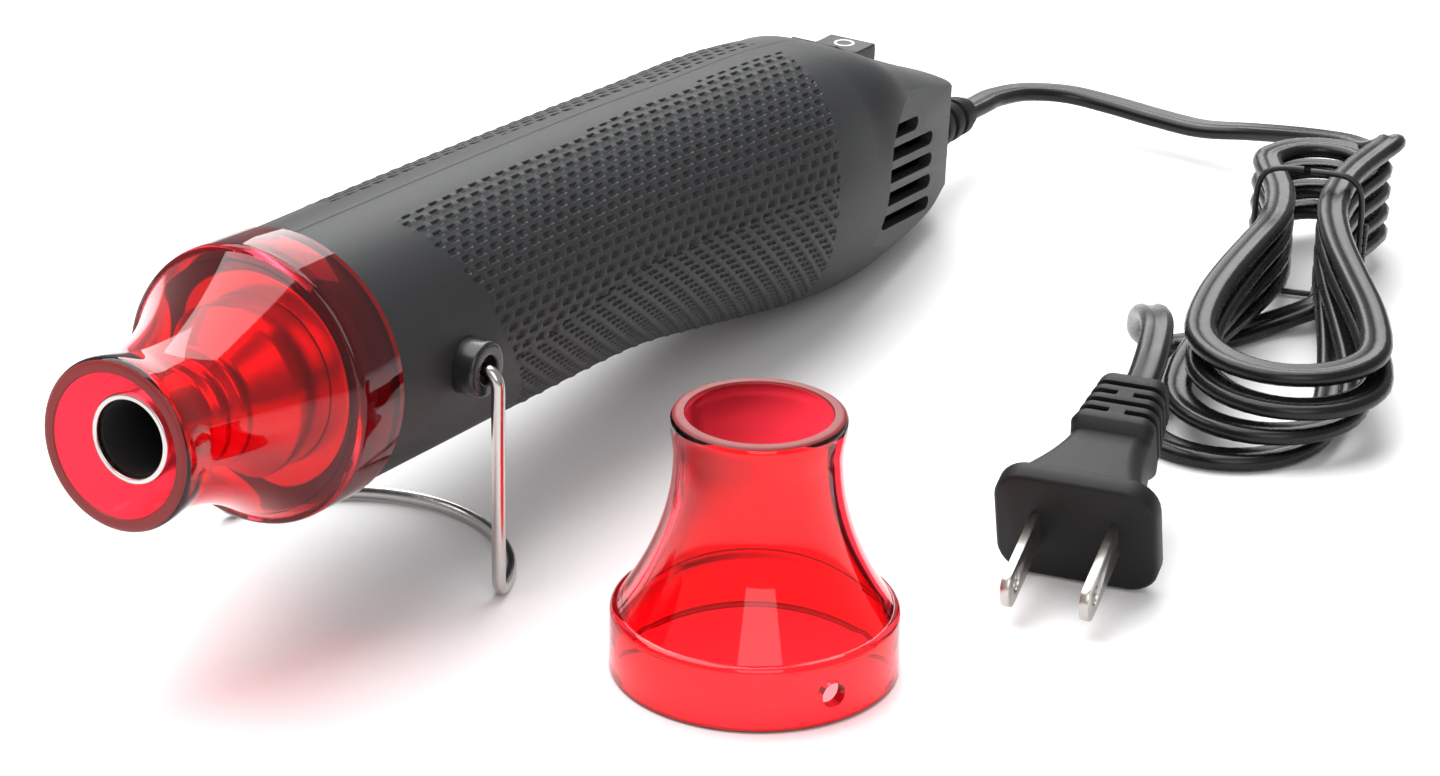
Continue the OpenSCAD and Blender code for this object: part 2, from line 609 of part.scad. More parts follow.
// Two insulated wires from the end of the cord to the switch, each bent through its own points.
lead_r = 0.8;
lead_half = 1.6;
tab_reach = switch_deep + terminal_l + gap;
function at_terminal(x) = [
    switch_s + x * cos(switch_slope) - tab_reach * sin(switch_slope),
    0,
    switch_w - x * sin(switch_slope) - tab_reach * cos(switch_slope)];
lead_start = tool_l - wall - 3;
lead_bend = [[230, -13], [219, -11.5], [210, -10]];
function lead_path(m) = let (end = at_terminal(-m * terminal_x))
    through(concat([[lead_start, m * lead_half, gland_w]], [for (q = lead_bend) [q[0], m * lead_half, q[1]]],
        [end - [0, 0, 2], end]), 3);
module supply_leads() tool() color([0.45, 0.25, 0.12]) for (m = [-1, 1]) let (path = lead_path(m))
    tube([for (i = [0 : len(path) - 1])
        let (dir = heading(path, i), side = unit(cross(dir, [0, 1, 0])), up = cross(side, dir))
        [for (k = [0 : 7]) path[i] + lead_r * (side * cos(45 * k) + up * sin(45 * k))]]);

// Strain relief: a ribbed bush held in the rear wall, drawn along its own axis.
relief_l = 21;
relief_r = 4.6;
relief_end_r = 3.8;
relief_groove_r = 3.1;
relief_pitch = 4.2;
relief_rib = 2.5;
relief_count = 5;
relief_head_r = 5;
relief_head_t = 2;
relief_head_z = -wall - 0.8;
function relief_rib_r(i) = lerp(relief_r, relief_end_r, i / (relief_count - 1));
module strain_relief() tool() along(tool_l) translate([-gland_w, 0, 0]) color([0.05, 0.05, 0.05])
    rotate_extrude($fn = 48) polygon([
        [0, relief_head_z - relief_head_t], [relief_head_r, relief_head_z - relief_head_t],
        [relief_head_r, relief_head_z], [gland_r, relief_head_z], [gland_r, fit],
        for (i = [0 : relief_count - 1]) let (z = fit + i * relief_pitch, r = relief_rib_r(i)) each
            [[r, z], [r, z + relief_rib], [relief_groove_r, z + relief_rib], [relief_groove_r, z + relief_pitch]],
        [relief_groove_r, relief_out], [0, relief_out]]);

// The origin is the middle of the footprint of the tool and its spare guard, away from under the mouth by this.
relief_out = relief_l + 0.6;
foot_x = ((tool_l + relief_out) * cos(tool_tilt) + (gland_w - lip_r) * sin(tool_tilt)) / 2;
foot_y = (spare_y - band_r + leg_y + wire_d / 2) / 2;

// Cord: from the strain relief, through the hank, to the plug.
half_w = cord_w / 2;
half_t = cord_t / 2;
function from_tool(s, w) =
    [s * cos(tool_tilt) + w * sin(tool_tilt), 0, mouth_z - s * sin(tool_tilt) + w * cos(tool_tilt)];
cord_start = from_tool(tool_l + relief_out, gland_w);
hank_x = 168;
hank_y = -104;
hank_turn = 17;
hank_l = 105;
waist_u = 75;
waist_half = 4.6;
front_r = 15;
rear_r = 10;
drop_l = 60;
fans = [-4, -5, -1, 5, 0];
reaches = [8, 4, 2, -1, 0];
function on_hank(u, v, z) =
    [hank_x + u * cos(hank_turn) - v * sin(hank_turn), hank_y + u * sin(hank_turn) + v * cos(hank_turn), z];
function run_half(u) = u > waist_u ? lerp(waist_half, rear_r, smooth((u - waist_u) / (hank_l - rear_r - waist_u)))
    : lerp(waist_half, front_r, smooth((waist_u - u) / (waist_u - front_r)));
// Point i of a loop of 24, from the rear end's right side round by the front: [along, across, share of the step].
function loop_point(i) = let (rear_u = hank_l - rear_r)
    i < 6 ? let (u = lerp(rear_u, front_r, i / 6)) [u, -run_half(u), smooth(i / 6)]
    : i < 12 ? let (a = (i - 6) * 30) [front_r - front_r * sin(a), -front_r * cos(a), 1]
    : i < 18 ? let (u = lerp(front_r, rear_u, (i - 12) / 6)) [u, run_half(u), 1]
    : let (a = (i - 18) * 30) [rear_u + rear_r * sin(a), rear_r * cos(a), 1];
function hank_point(i) = let (k = floor(i / 24), q = loop_point(i % 24), layer = hank_loops + 1 - k - q[2],
    near = 1 - smooth(q[0] / (waist_u - 12)), u = q[0] + reaches[k] * near)
    on_hank(u, q[1] + fans[k] * near, half_t + hank_step * (layer - 1 + smooth(u / drop_l)));
tail_count = 2;
hank_path = [for (i = [0 : 24 * hank_loops + tail_count]) hank_point(i)];
module cord_hank() placed() color([0.07, 0.07, 0.07])
    tube([for (i = [0 : len(hank_path) - 1]) level_ring(hank_path[i], heading(hank_path, i), half_w, half_t, 6)]);

cord_route = [[268.5, 0, 11.1], [275, 0, 10.6], [283.5, -2.3, 9.6], [289.7, -8.5, 8.5], [292, -17, 7.4],
    [292.3, -27, 6.6], [292, -37, 6.5], [291, -48, 8.5], [287, -60, 11.5], [280, -71, 15], [272, -79.5, 18]];
cord_points = concat([cord_start], cord_route,
    [hank_path[0] - 6 * unit(hank_path[1] - hank_path[0]), hank_path[0]]);
cord_path = through(cord_points, 3);
module power_cord() placed() color([0.07, 0.07, 0.07])
    tube([for (i = [0 : len(cord_path) - 1]) level_ring(cord_path[i], heading(cord_path, i), half_w, half_t, 8)]);

// Plug: its face's centre, and its axis towards the cord.
plug_x = 111.4;
plug_y = -100.5;
plug_yaw = 10.5;
plug_tilt = 16.6;
plug_z = plug_h / 2 * cos(plug_tilt);
flange_l = 4;
flange_r = 5.2;
flange_step = 1.4;
plug_l = 35;
module at_plug() placed() translate([plug_x, plug_y, plug_z]) rotate([0, -plug_tilt, plug_yaw]) children();
module slab(l, w, h, r) rotate([90, 0, 90]) linear_extrude(l)
    for (a = [0, 1], b = [0, 1]) mirror([a, 0]) mirror([0, b]) {
        square([w / 2 - r, h / 2]);
        square([w / 2, h / 2 - r]);
        translate([w / 2 - r, h / 2 - r]) circle(r = r, $fn = 32);
    }
body_w = 15.2;
body_h = 11.5;
neck_w = 11;
neck_h = 8.6;
ridge_l = 21;
groove_s = ridge_l + 4;
groove_pitch = 2.8;
groove_l = 1.3;
groove_deep = 0.3;
groove_fall = 0.25;
module plug_body() at_plug() color([0.08, 0.08, 0.08]) difference() {
    union() {
        slab(flange_l, plug_w, plug_h, flange_r);
        hull() {
            translate([flange_l - 0.5, 0, 0]) slab(0.5, body_w + 5, plug_h - flange_step, 3);
            translate([ridge_l, 0, 0]) slab(1, body_w - 2, body_h - 1, 3);
        }
        hull() {
            translate([ridge_l + 0.5, 0, 0]) slab(1, body_w - 1.5, body_h, 3);
            translate([plug_l - 1, 0, 0]) slab(1, neck_w, neck_h, 3);
        }
    }
    for (i = [0 : 3], m = [0, 1]) let (s = groove_s + i * groove_pitch, out = groove_deep - i * groove_fall) {
        mirror([0, 0, m]) translate([s, -far / 2, neck_h / 2 + out]) cube([groove_l, far, far]);
        mirror([0, m, 0]) translate([s, neck_w / 2 + out, -far / 2]) cube([groove_l, far, far]);
    }
    for (m = [0, 1]) mirror([0, m, 0]) translate([-1, blade_pitch / 2 - blade_t / 2, -blade_h / 2])
        cube([blade_in + 1.1, blade_t, blade_h]);
}
blade_t = 1.5;
blade_h = 6.3;
blade_in = 5.9;
blade_point = 1.6;
blade_hole_s = 4.2;
blade_hole_d = 3.1;
module plug_blades() at_plug() color("lightgray") for (m = [0, 1]) mirror([0, m, 0])
    translate([0, blade_pitch / 2 - blade_t / 2, 0]) rotate([-90, 0, 0]) linear_extrude(blade_t) difference() {
        polygon([
            [blade_in, -blade_h / 2 + fit], [blade_in, blade_h / 2 - fit],
            [-prong_l + blade_point, blade_h / 2 - fit], [-prong_l, blade_h / 2 - blade_point],
            [-prong_l, -blade_h / 2 + blade_point], [-prong_l + blade_point, -blade_h / 2 + fit]]);
        translate([-prong_l + blade_hole_s, 0]) circle(d = blade_hole_d, $fn = 32);
    }
plug_dir = [cos(plug_yaw) * cos(plug_tilt), sin(plug_yaw) * cos(plug_tilt), sin(plug_tilt)];
plug_end = [plug_x, plug_y, plug_z] + plug_l * plug_dir;
hank_end = hank_path[len(hank_path) - 1];
plug_route = [[222, -84, 1.9], [212, -79.5, 1.6], [204, -73.6, 1.65], [199.5, -72.4, 3.2], [193.5, -72.6, 7.4],
    [186.5, -75.4, 13.2], [179, -79.6, 18.4], [171, -84.5, 22], [163.5, -88.6, 23.3], [156, -91.6, 22.9]];
// The cord leaves the hank, and meets the plug, straight for this length.
straight_l = 5.6;
plug_points = concat([hank_end, hank_end + straight_l * heading(hank_path, len(hank_path) - 1)], plug_route,
    [plug_end + straight_l * plug_dir, plug_end]);
plug_path = through(plug_points, 3);
module plug_cord() placed() color([0.07, 0.07, 0.07])
    tube([for (i = [0 : len(plug_path) - 1]) level_ring(plug_path[i], heading(plug_path, i), half_w, half_t, 8)]);

// Tie: a thin wire round the waist of the hank.
tie_d = 1.1;
tie_clear = 2.2;
tie_half_w = waist_half + half_w + tie_clear;
tie_low = tie_d / 2 + 0.1;
tie_top = hank_step * (hank_loops + 1) + cord_t + tie_clear - 1;
tie_mid = (tie_top + tie_low) / 2;
// The tie's loop is squarer than an ellipse, so that it clears the corners of the runs inside it.
tie_power = 5;
function tie_reach(a) = pow(pow(abs(cos(a)), tie_power) + pow(abs(sin(a)), tie_power), -1 / tie_power);
tie_path = [for (i = [0 : 36]) let (a = 90 + i * 350 / 36, r = tie_reach(a))
    on_hank(waist_u + i * 0.02, tie_half_w * r * cos(a), tie_mid + (tie_mid - tie_low) * r * sin(a))];
module cord_tie() placed() color([0.03, 0.03, 0.03]) tube([for (i = [0 : len(tie_path) - 1])
    let (dir = heading(tie_path, i), side = on_hank(1, 0, 0) - on_hank(0, 0, 0), up = cross(side, dir))
    [for (k = [0 : 5]) tie_path[i] + tie_d / 2 * (side * cos(60 * k) + up * sin(60 * k))]]);

// The hank's least gap to itself, measured between points four to a step.
fine = through(hank_path, 4);
clear_of = 24;
gaps = [for (i = [0 : len(fine) - 1], j = [i + clear_of : len(fine) - 1]) let (d = fine[i] - fine[j])
    max(abs(d[2]) - cord_t, norm([d[0], d[1]]) - cord_w)];
echo(hank_least_gap = min(gaps));
function path_length(p, i = 1) = i == len(p) ? 0 : norm(p[i] - p[i - 1]) + path_length(p, i + 1);
echo(cord_length = path_length(cord_path) + path_length(hank_path) + path_length(plug_path));

housing_left();
housing_right();
front_collar();
nozzle_guard();
spare_nozzle_guard();
nozzle_tube();
heater_flange();
insulator_sleeve();
mica_board_upright();
mica_board_level();
heating_coil();
thermal_cutout();
fan_duct();
fan_impeller();
motor_shaft();
motor_rotor();
motor_magnets();
motor_can();
motor_end_cap();
rectifier_board();
rectifier_diodes();
switch_body();
rocker_button();
switch_terminals();
stand_wire();
stand_boss_left();
stand_boss_right();
housing_screws();
strain_relief();
power_cord();
cord_hank();
plug_cord();
cord_tie();
plug_body();
plug_blades();
supply_leads();
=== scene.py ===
import math

import bmesh
import bpy
import numpy as np
from mathutils import Matrix, Vector


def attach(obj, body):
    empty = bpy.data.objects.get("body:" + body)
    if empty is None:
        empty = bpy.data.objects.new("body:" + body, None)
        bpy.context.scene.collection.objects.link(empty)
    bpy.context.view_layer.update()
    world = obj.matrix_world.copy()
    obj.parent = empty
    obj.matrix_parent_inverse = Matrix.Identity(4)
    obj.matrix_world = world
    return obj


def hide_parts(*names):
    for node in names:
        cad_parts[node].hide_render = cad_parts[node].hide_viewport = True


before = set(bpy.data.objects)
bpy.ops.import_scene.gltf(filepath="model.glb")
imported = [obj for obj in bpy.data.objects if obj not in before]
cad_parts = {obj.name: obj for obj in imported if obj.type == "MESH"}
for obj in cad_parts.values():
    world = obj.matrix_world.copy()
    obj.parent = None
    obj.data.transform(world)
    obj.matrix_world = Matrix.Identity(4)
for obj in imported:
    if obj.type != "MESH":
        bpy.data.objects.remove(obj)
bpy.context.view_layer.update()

MM = 0.001
PHOTO_W = 1440
FOCAL_PX = 4488
SENSOR = 36.0

# Frames

FOOT = Vector((130.5616, -32.6, 0))
TILT = math.radians(4)
MOUTH_Z = 42.9
PLACED = Matrix.Scale(MM, 4) @ Matrix.Translation(-FOOT)
TOOL = PLACED @ Matrix.Translation((0, 0, MOUTH_Z)) @ Matrix.Rotation(TILT, 4, "Y")


def to_row(points, space):
    """Points in millimetres of a space, as points of the row frame in metres."""
    p = np.asarray(points, float).reshape(-1, 3)
    m = np.array(space)
    return p @ m[:3, :3].T + m[:3, 3]


# Camera

CAMERA = Vector((-0.5909, -0.3403, 0.3178))
HEADING = Vector((0.861, 0.508, 0)).normalized()
PITCH, ROLL = math.radians(24.24), math.radians(1.06)
ahead = HEADING * math.cos(PITCH) - Vector((0, 0, math.sin(PITCH)))
level = Vector((HEADING.y, -HEADING.x, 0))
above = level.cross(ahead)
right = level * math.cos(ROLL) + above * math.sin(ROLL)
upward = above * math.cos(ROLL) - level * math.sin(ROLL)
camera = bpy.data.objects.new("camera", bpy.data.cameras.new("camera"))
camera.data.sensor_width = SENSOR
camera.data.lens = FOCAL_PX * SENSOR / PHOTO_W
camera.data.clip_end = 20
camera.matrix_world = Matrix.Translation(CAMERA) @ Matrix((right, upward, -ahead)).transposed().to_4x4()
bpy.context.scene.collection.objects.link(camera)
bpy.context.scene.camera = camera
bpy.context.scene.view_settings.view_transform = "Standard"


# Mesh helpers

def make(name, points, faces, material, body="root", replaces=(), sharp=35, space=PLACED):
    """A piece from points in millimetres of a space, smooth but for edges sharper than an angle."""
    mesh = bpy.data.meshes.new(name)
    mesh.from_pydata([tuple(p) for p in to_row(points, space)], [], faces)
    mesh.validate()
    return finish_piece(name, mesh, material, body, replaces, sharp)


def face_outward(mesh):
    """Turns the faces of a closed mesh outward."""
    work = bmesh.new()
    work.from_mesh(mesh)
    bmesh.ops.recalc_face_normals(work, faces=work.faces)
    work.to_mesh(mesh)
    work.free()


def finish_piece(name, mesh, material, body, replaces, sharp):
    """Makes a mesh a piece of the part, with its finish, its body and the nodes it stands for."""
    face_outward(mesh)
    mesh.polygons.foreach_set("use_smooth", [True] * len(mesh.polygons))
    mesh.set_sharp_from_angle(angle=math.radians(sharp))
    piece = bpy.data.objects.new(name, mesh)
    bpy.context.scene.collection.objects.link(piece)
    mesh.materials.append(material)
    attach(piece, body)
    if replaces:
        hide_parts(*replaces)
    return piece


def loft(rings, closed=False):
    """Faces through rings of points, each with the same count."""
    n, count = len(rings[0]), len(rings)
    points = [p for ring in rings for p in ring]
    faces = []
    for i in range(count if closed else count - 1):
        j = (i + 1) % count
        for k in range(n):
            m = (k + 1) % n
            faces.append((i * n + k, j * n + k, j * n + m, i * n + m))
    if not closed:
        faces.append(tuple(range(n)))
        faces.append(tuple((count - 1) * n + k for k in range(n - 1, -1, -1)))
    return points, faces


def rounded(outline, radius, steps=4):
    """A closed outline of points in a plane with its corners rounded off."""
    p = [Vector(q) for q in outline]
    radii = radius if isinstance(radius, (list, tuple)) else [radius] * len(p)
    out = []
    for i, b in enumerate(p):
        a, c = p[i - 1], p[(i + 1) % len(p)]
        u, v = a - b, c - b
        cut = min(radii[i], 0.45 * u.length, 0.45 * v.length)
        turn = u.angle(v, math.pi)
        if cut < 0.01 or turn > math.radians(168):
            out.append(b)
            continue
        start, end = b + u.normalized() * cut, b + v.normalized() * cut
        for j in range(steps + 1):
            t = j / steps
            out.append((1 - t) ** 2 * start + 2 * t * (1 - t) * b + t * t * end)
    return [tuple(q) for q in out]


def lathe(outline, sides=96):
    """Turns a closed outline of [along, radius] round the X axis."""
    rings = []
    for k in range(sides):
        a = 2 * math.pi * k / sides
        rings.append([(s, r * math.cos(a), r * math.sin(a)) for s, r in outline])
    return loft(rings, closed=True)


def through(points, steps):
    """A smooth line through chosen points, with steps points for each stretch."""
    p = [np.array(q, float) for q in points]
    out = []
    for i in range(len(p) - 1):
        a, b, c, d = p[max(0, i - 1)], p[i], p[i + 1], p[min(len(p) - 1, i + 2)]
        for j in range(steps):
            t = j / steps
            out.append(0.5 * (2 * b + (c - a) * t + (2 * a - 5 * b + 4 * c - d) * t * t
                              + (3 * b - a - 3 * c + d) * t ** 3))
    out.append(p[-1])
    return out


def unit(v):
    v = np.array(v, float)
    return v / np.linalg.norm(v)


def heading(path, i):
    """The direction of a path at its point i."""
    if i == 0:
        return unit(path[1] - path[0])
    if i == len(path) - 1:
        return unit(path[-1] - path[-2])
    return unit(unit(path[i + 1] - path[i]) + unit(path[i] - path[i - 1]))


def swept(path, section, side_of):
    """Rings of a section, given as [across, up], carried along a path."""
    rings = []
    for i, p in enumerate(path):
        ahead_ = heading(path, i)
        side = unit(side_of(ahead_))
        up = np.cross(side, ahead_)
        rings.append([p + side * a + up * b for a, b in section])
    return rings


def circle(radius, sides):
    turns = [2 * math.pi * k / sides for k in range(sides)]
    return [(radius * math.cos(a), radius * math.sin(a)) for a in turns]


def circle_at(x, y, radius, sides):
    return [(x + a, y + b) for a, b in circle(radius, sides)]


def bevelled(piece, width, segments=3, angle=40):
    """Rounds a piece's sharp edges by a width in millimetres."""
    bevel = piece.modifiers.new("edges", "BEVEL")
    bevel.width = width * MM
    bevel.segments = segments
    bevel.limit_method = "ANGLE"
    bevel.angle_limit = math.radians(angle)
    bevel.harden_normals = False
    apply_modifiers(piece)
    piece.data.set_sharp_from_angle(angle=math.radians(35))
    return piece


def apply_modifiers(piece):
    graph = bpy.context.evaluated_depsgraph_get()
    mesh = bpy.data.meshes.new_from_object(piece.evaluated_get(graph))
    piece.modifiers.clear()
    old = piece.data
    piece.data = mesh
    bpy.data.meshes.remove(old)


def cut_away(piece, cutters):
    """Cuts closed meshes out of a piece, then removes them."""
    for tool in cutters:
        step = piece.modifiers.new("cut", "BOOLEAN")
        step.operation = "DIFFERENCE"
        step.object = tool
        step.solver = "EXACT"
    apply_modifiers(piece)
    for tool in cutters:
        bpy.data.objects.remove(tool)


def cutter(points, faces, space=TOOL):
    """A closed mesh that cut_away uses and removes."""
    mesh = bpy.data.meshes.new("cutter")
    mesh.from_pydata([tuple(p) for p in to_row(points, space)], [], faces)
    face_outward(mesh)
    tool = bpy.data.objects.new("cutter", mesh)
    bpy.context.scene.collection.objects.link(tool)
    return tool


def prism(outline, low, high, axis="z"):
    """A closed prism of an outline between two heights along an axis."""
    turn = {
        "x": lambda a, b, h: (h, a, b),
        "y": lambda a, b, h: (a, h, b),
        "z": lambda a, b, h: (a, b, h),
    }[axis]
    return loft([[turn(a, b, low) for a, b in outline], [turn(a, b, high) for a, b in outline]])


# Materials

def plastic(name, colour, rough, metal=0.0, grain=900, bump=0.15, depth=0.05, mottle=0.12, coat=0.0,
            scratch=0.0, level=0.5):
    """Moulded or drawn stock: a fine grain in bump and roughness, and a little variation in colour."""
    m = bpy.data.materials.new(name)
    m.use_nodes = True
    nodes, links = m.node_tree.nodes, m.node_tree.links
    shader = nodes["Principled BSDF"]
    shader.inputs["Metallic"].default_value = metal
    shader.inputs["Coat Weight"].default_value = coat
    shader.inputs["Coat Roughness"].default_value = 0.12
    shader.inputs["Specular IOR Level"].default_value = level
    place = nodes.new("ShaderNodeTexCoord")
    fine = nodes.new("ShaderNodeTexNoise")
    fine.inputs["Scale"].default_value = grain
    fine.inputs["Detail"].default_value = 3
    broad = nodes.new("ShaderNodeTexNoise")
    broad.inputs["Scale"].default_value = 45
    broad.inputs["Detail"].default_value = 2
    for n in (fine, broad):
        links.new(place.outputs["Object"], n.inputs["Vector"])
    ramp = nodes.new("ShaderNodeValToRGB")
    ramp.color_ramp.elements[0].position = 0.3
    ramp.color_ramp.elements[1].position = 0.7
    ramp.color_ramp.elements[0].color = [c * (1 - mottle) for c in colour] + [1]
    ramp.color_ramp.elements[1].color = [min(1, c * (1 + mottle)) for c in colour] + [1]
    links.new(broad.outputs["Fac"], ramp.inputs["Fac"])
    links.new(ramp.outputs["Color"], shader.inputs["Base Color"])
    spread = nodes.new("ShaderNodeMapRange")
    spread.inputs["To Min"].default_value = max(0.02, rough - 0.06)
    spread.inputs["To Max"].default_value = min(1, rough + 0.06)
    links.new(fine.outputs["Fac"], spread.inputs["Value"])
    links.new(spread.outputs["Result"], shader.inputs["Roughness"])
    relief = nodes.new("ShaderNodeBump")
    relief.inputs["Strength"].default_value = bump
    relief.inputs["Distance"].default_value = depth * MM
    links.new(fine.outputs["Fac"], relief.inputs["Height"])
    links.new(relief.outputs["Normal"], shader.inputs["Normal"])
    if scratch:
        lines = nodes.new("ShaderNodeTexNoise")
        lines.inputs["Scale"].default_value = 300
        lines.inputs["Detail"].default_value = 4
        stretch = nodes.new("ShaderNodeMapping")
        stretch.inputs["Scale"].default_value = (0.05, 1, 1)
        links.new(place.outputs["Object"], stretch.inputs["Vector"])
        links.new(stretch.outputs["Vector"], lines.inputs["Vector"])
        second = nodes.new("ShaderNodeBump")
        second.inputs["Strength"].default_value = scratch
        second.inputs["Distance"].default_value = depth * MM
        links.new(lines.outputs["Fac"], second.inputs["Height"])
        links.new(relief.outputs["Normal"], second.inputs["Normal"])
        links.new(second.outputs["Normal"], shader.inputs["Normal"])
    return m


def tinted(name, tint, shade, rough=0.03):
    """Clear tinted plastic, whose shadow rays pass straight through and take its colour."""
    m = bpy.data.materials.new(name)
    m.use_nodes = True
    nodes, links = m.node_tree.nodes, m.node_tree.links
    glass = nodes["Principled BSDF"]
    glass.inputs["Transmission Weight"].default_value = 1
    glass.inputs["IOR"].default_value = 1.42
    glass.inputs["Specular IOR Level"].default_value = 0.3
    place = nodes.new("ShaderNodeTexCoord")
    cloud = nodes.new("ShaderNodeTexNoise")
    cloud.inputs["Scale"].default_value = 60
    cloud.inputs["Detail"].default_value = 2
    links.new(place.outputs["Object"], cloud.inputs["Vector"])
    ramp = nodes.new("ShaderNodeValToRGB")
    ramp.color_ramp.elements[0].position = 0.35
    ramp.color_ramp.elements[1].position = 0.65
    ramp.color_ramp.elements[0].color = [c * 0.95 for c in tint] + [1]
    ramp.color_ramp.elements[1].color = list(tint) + [1]
    links.new(cloud.outputs["Fac"], ramp.inputs["Fac"])
    links.new(ramp.outputs["Color"], glass.inputs["Base Color"])
    haze = nodes.new("ShaderNodeMapRange")
    haze.inputs["To Min"].default_value = rough * 0.6
    haze.inputs["To Max"].default_value = rough * 1.4
    links.new(cloud.outputs["Fac"], haze.inputs["Value"])
    links.new(haze.outputs["Result"], glass.inputs["Roughness"])
    clear = nodes.new("ShaderNodeBsdfTransparent")
    clear.inputs["Color"].default_value = list(shade) + [1]
    ray = nodes.new("ShaderNodeLightPath")
    mix = nodes.new("ShaderNodeMixShader")
    links.new(ray.outputs["Is Shadow Ray"], mix.inputs["Fac"])
    links.new(glass.outputs["BSDF"], mix.inputs[1])
    links.new(clear.outputs["BSDF"], mix.inputs[2])
    links.new(mix.outputs["Shader"], nodes["Material Output"].inputs["Surface"])
    return m


CHARCOAL = plastic("charcoal_moulding", (0.021, 0.022, 0.0235), 0.5, grain=1400, bump=0.25, depth=0.04,
                   mottle=0.06, level=0.27)
RED = tinted("clear_red", (0.94, 0.035, 0.06), (0.96, 0.42, 0.45))
RIM_RED = plastic("guard_rim", (0.2, 0.018, 0.018), 0.45, grain=600, bump=0.05, level=0.3)
STEEL = plastic("drawn_steel", (0.62, 0.6, 0.58), 0.24, metal=1, grain=500, bump=0.08, scratch=0.25)
# Near-black for the inside of the nozzle's bore: painted shade for the dark inside of the tube.
BORE_SHADE = plastic("painted_bore_shade", (0.006, 0.006, 0.006), 0.85, grain=700)
NICKEL_WIRE = plastic("bright_wire", (0.5, 0.49, 0.47), 0.2, metal=1, grain=700, bump=0.1, scratch=0.3)
NICKEL = plastic("nickel_plate", (0.5, 0.48, 0.45), 0.3, metal=1, grain=600, bump=0.06, scratch=0.15)
GLOSS_BLACK = plastic("gloss_black", (0.01, 0.01, 0.011), 0.28, grain=600, bump=0.06, coat=0.2, level=0.35)
SWITCH_BLACK = plastic("switch_black", (0.018, 0.018, 0.02), 0.42, grain=1200, bump=0.15, level=0.3)
CORD_BLACK = plastic("cord_jacket", (0.005, 0.005, 0.005), 0.28, grain=500, bump=0.08, level=0.3)
PLUG_BLACK = plastic("plug_moulding", (0.008, 0.008, 0.008), 0.52, grain=1300, bump=0.3, level=0.22)
TIE_BLACK = plastic("tie_jacket", (0.01, 0.01, 0.01), 0.42, grain=600)
MARK = plastic("white_mark", (0.72, 0.72, 0.72), 0.6, grain=1500)

# Cord

CORD_W, CORD_T = 5.6, 2.8
HANK_LOOPS, HANK_STEP, TAIL = 4, 4.1, 2
HANK_X, HANK_Y, HANK_TURN, HANK_L = 168, -104, math.radians(17), 105
WAIST_U, WAIST_HALF, FRONT_R, REAR_R = 75, 4.6, 15, 10
DROP_L = 60
FANS, REACHES = (-4, -5, -1, 5, 0), (8, 4, 2, -1, 0)
GLAND_W, RELIEF_OUT, TOOL_L = -13, 21.6, 242


def smooth(t):
    t = min(1, max(0, t))
    return t * t * (3 - 2 * t)


def lerp(a, b, t):
    return a + (b - a) * t


def from_tool(s, w):
    c, n = math.cos(TILT), math.sin(TILT)
    return np.array([s * c + w * n, 0, MOUTH_Z - s * n + w * c])


def on_hank(u, v, z):
    c, n = math.cos(HANK_TURN), math.sin(HANK_TURN)
    return np.array([HANK_X + u * c - v * n, HANK_Y + u * n + v * c, z])


def run_half(u):
    if u > WAIST_U:
        return lerp(WAIST_HALF, REAR_R, smooth((u - WAIST_U) / (HANK_L - REAR_R - WAIST_U)))
    return lerp(WAIST_HALF, FRONT_R, smooth((WAIST_U - u) / (WAIST_U - FRONT_R)))


def loop_point(i):
    rear_u = HANK_L - REAR_R
    if i < 6:
        u = lerp(rear_u, FRONT_R, i / 6)
        return u, -run_half(u), smooth(i / 6)
    if i < 12:
        a = math.radians((i - 6) * 30)
        return FRONT_R - FRONT_R * math.sin(a), -FRONT_R * math.cos(a), 1
    if i < 18:
        u = lerp(FRONT_R, rear_u, (i - 12) / 6)
        return u, run_half(u), 1
    a = math.radians((i - 18) * 30)
    return rear_u + REAR_R * math.sin(a), REAR_R * math.cos(a), 1


def hank_point(i):
    k = i // 24
    along, across, taken = loop_point(i % 24)
    layer = HANK_LOOPS + 1 - k - taken
    near = 1 - smooth(along / (WAIST_U - 12))
    u = along + REACHES[k] * near
    z = CORD_T / 2 + HANK_STEP * layer - HANK_STEP * (1 - smooth(u / DROP_L))
    return on_hank(u, across + FANS[k] * near, z)


PLUG_W, PLUG_H, PLUG_L, RIDGE_L = 26.4, 20.4, 35, 21
PLUG_YAW, PLUG_TILT = math.radians(10.5), math.radians(16.6)
PLUG_AT = Vector((111.4, -100.5, PLUG_H / 2 * math.cos(PLUG_TILT)))
PLUG = (PLACED @ Matrix.Translation(PLUG_AT) @ Matrix.Rotation(PLUG_YAW, 4, "Z")
        @ Matrix.Rotation(-PLUG_TILT, 4, "Y"))
plug_dir = np.array([math.cos(PLUG_YAW) * math.cos(PLUG_TILT), math.sin(PLUG_YAW) * math.cos(PLUG_TILT),
                     math.sin(PLUG_TILT)])
plug_end = np.array(PLUG_AT) + PLUG_L * plug_dir

hank = [hank_point(i) for i in range(24 * HANK_LOOPS + TAIL + 1)]
cord_start = from_tool(TOOL_L + RELIEF_OUT, GLAND_W)
CORD_ROUTE = [(268.5, 0, 11.1), (275, 0, 10.6), (283.5, -2.3, 9.6), (289.7, -8.5, 8.5), (292, -17, 7.4),
              (292.3, -27, 6.6), (292, -37, 6.5), (291, -48, 8.5), (287, -60, 11.5), (280, -71, 15),
              (272, -79.5, 18)]
PLUG_ROUTE = [(222, -84, 1.9), (212, -79.5, 1.6), (204, -73.6, 1.65), (199.5, -72.4, 3.2),
              (193.5, -72.6, 7.4), (186.5, -75.4, 13.2), (179, -79.6, 18.4), (171, -84.5, 22),
              (163.5, -88.6, 23.3), (156, -91.6, 22.9)]
RUN_IN, RUN_OUT = 6, 5.6
lead_in = through([cord_start, *CORD_ROUTE, hank[0] - RUN_IN * unit(hank[1] - hank[0]), hank[0]], 6)
wound = through(hank, 3)
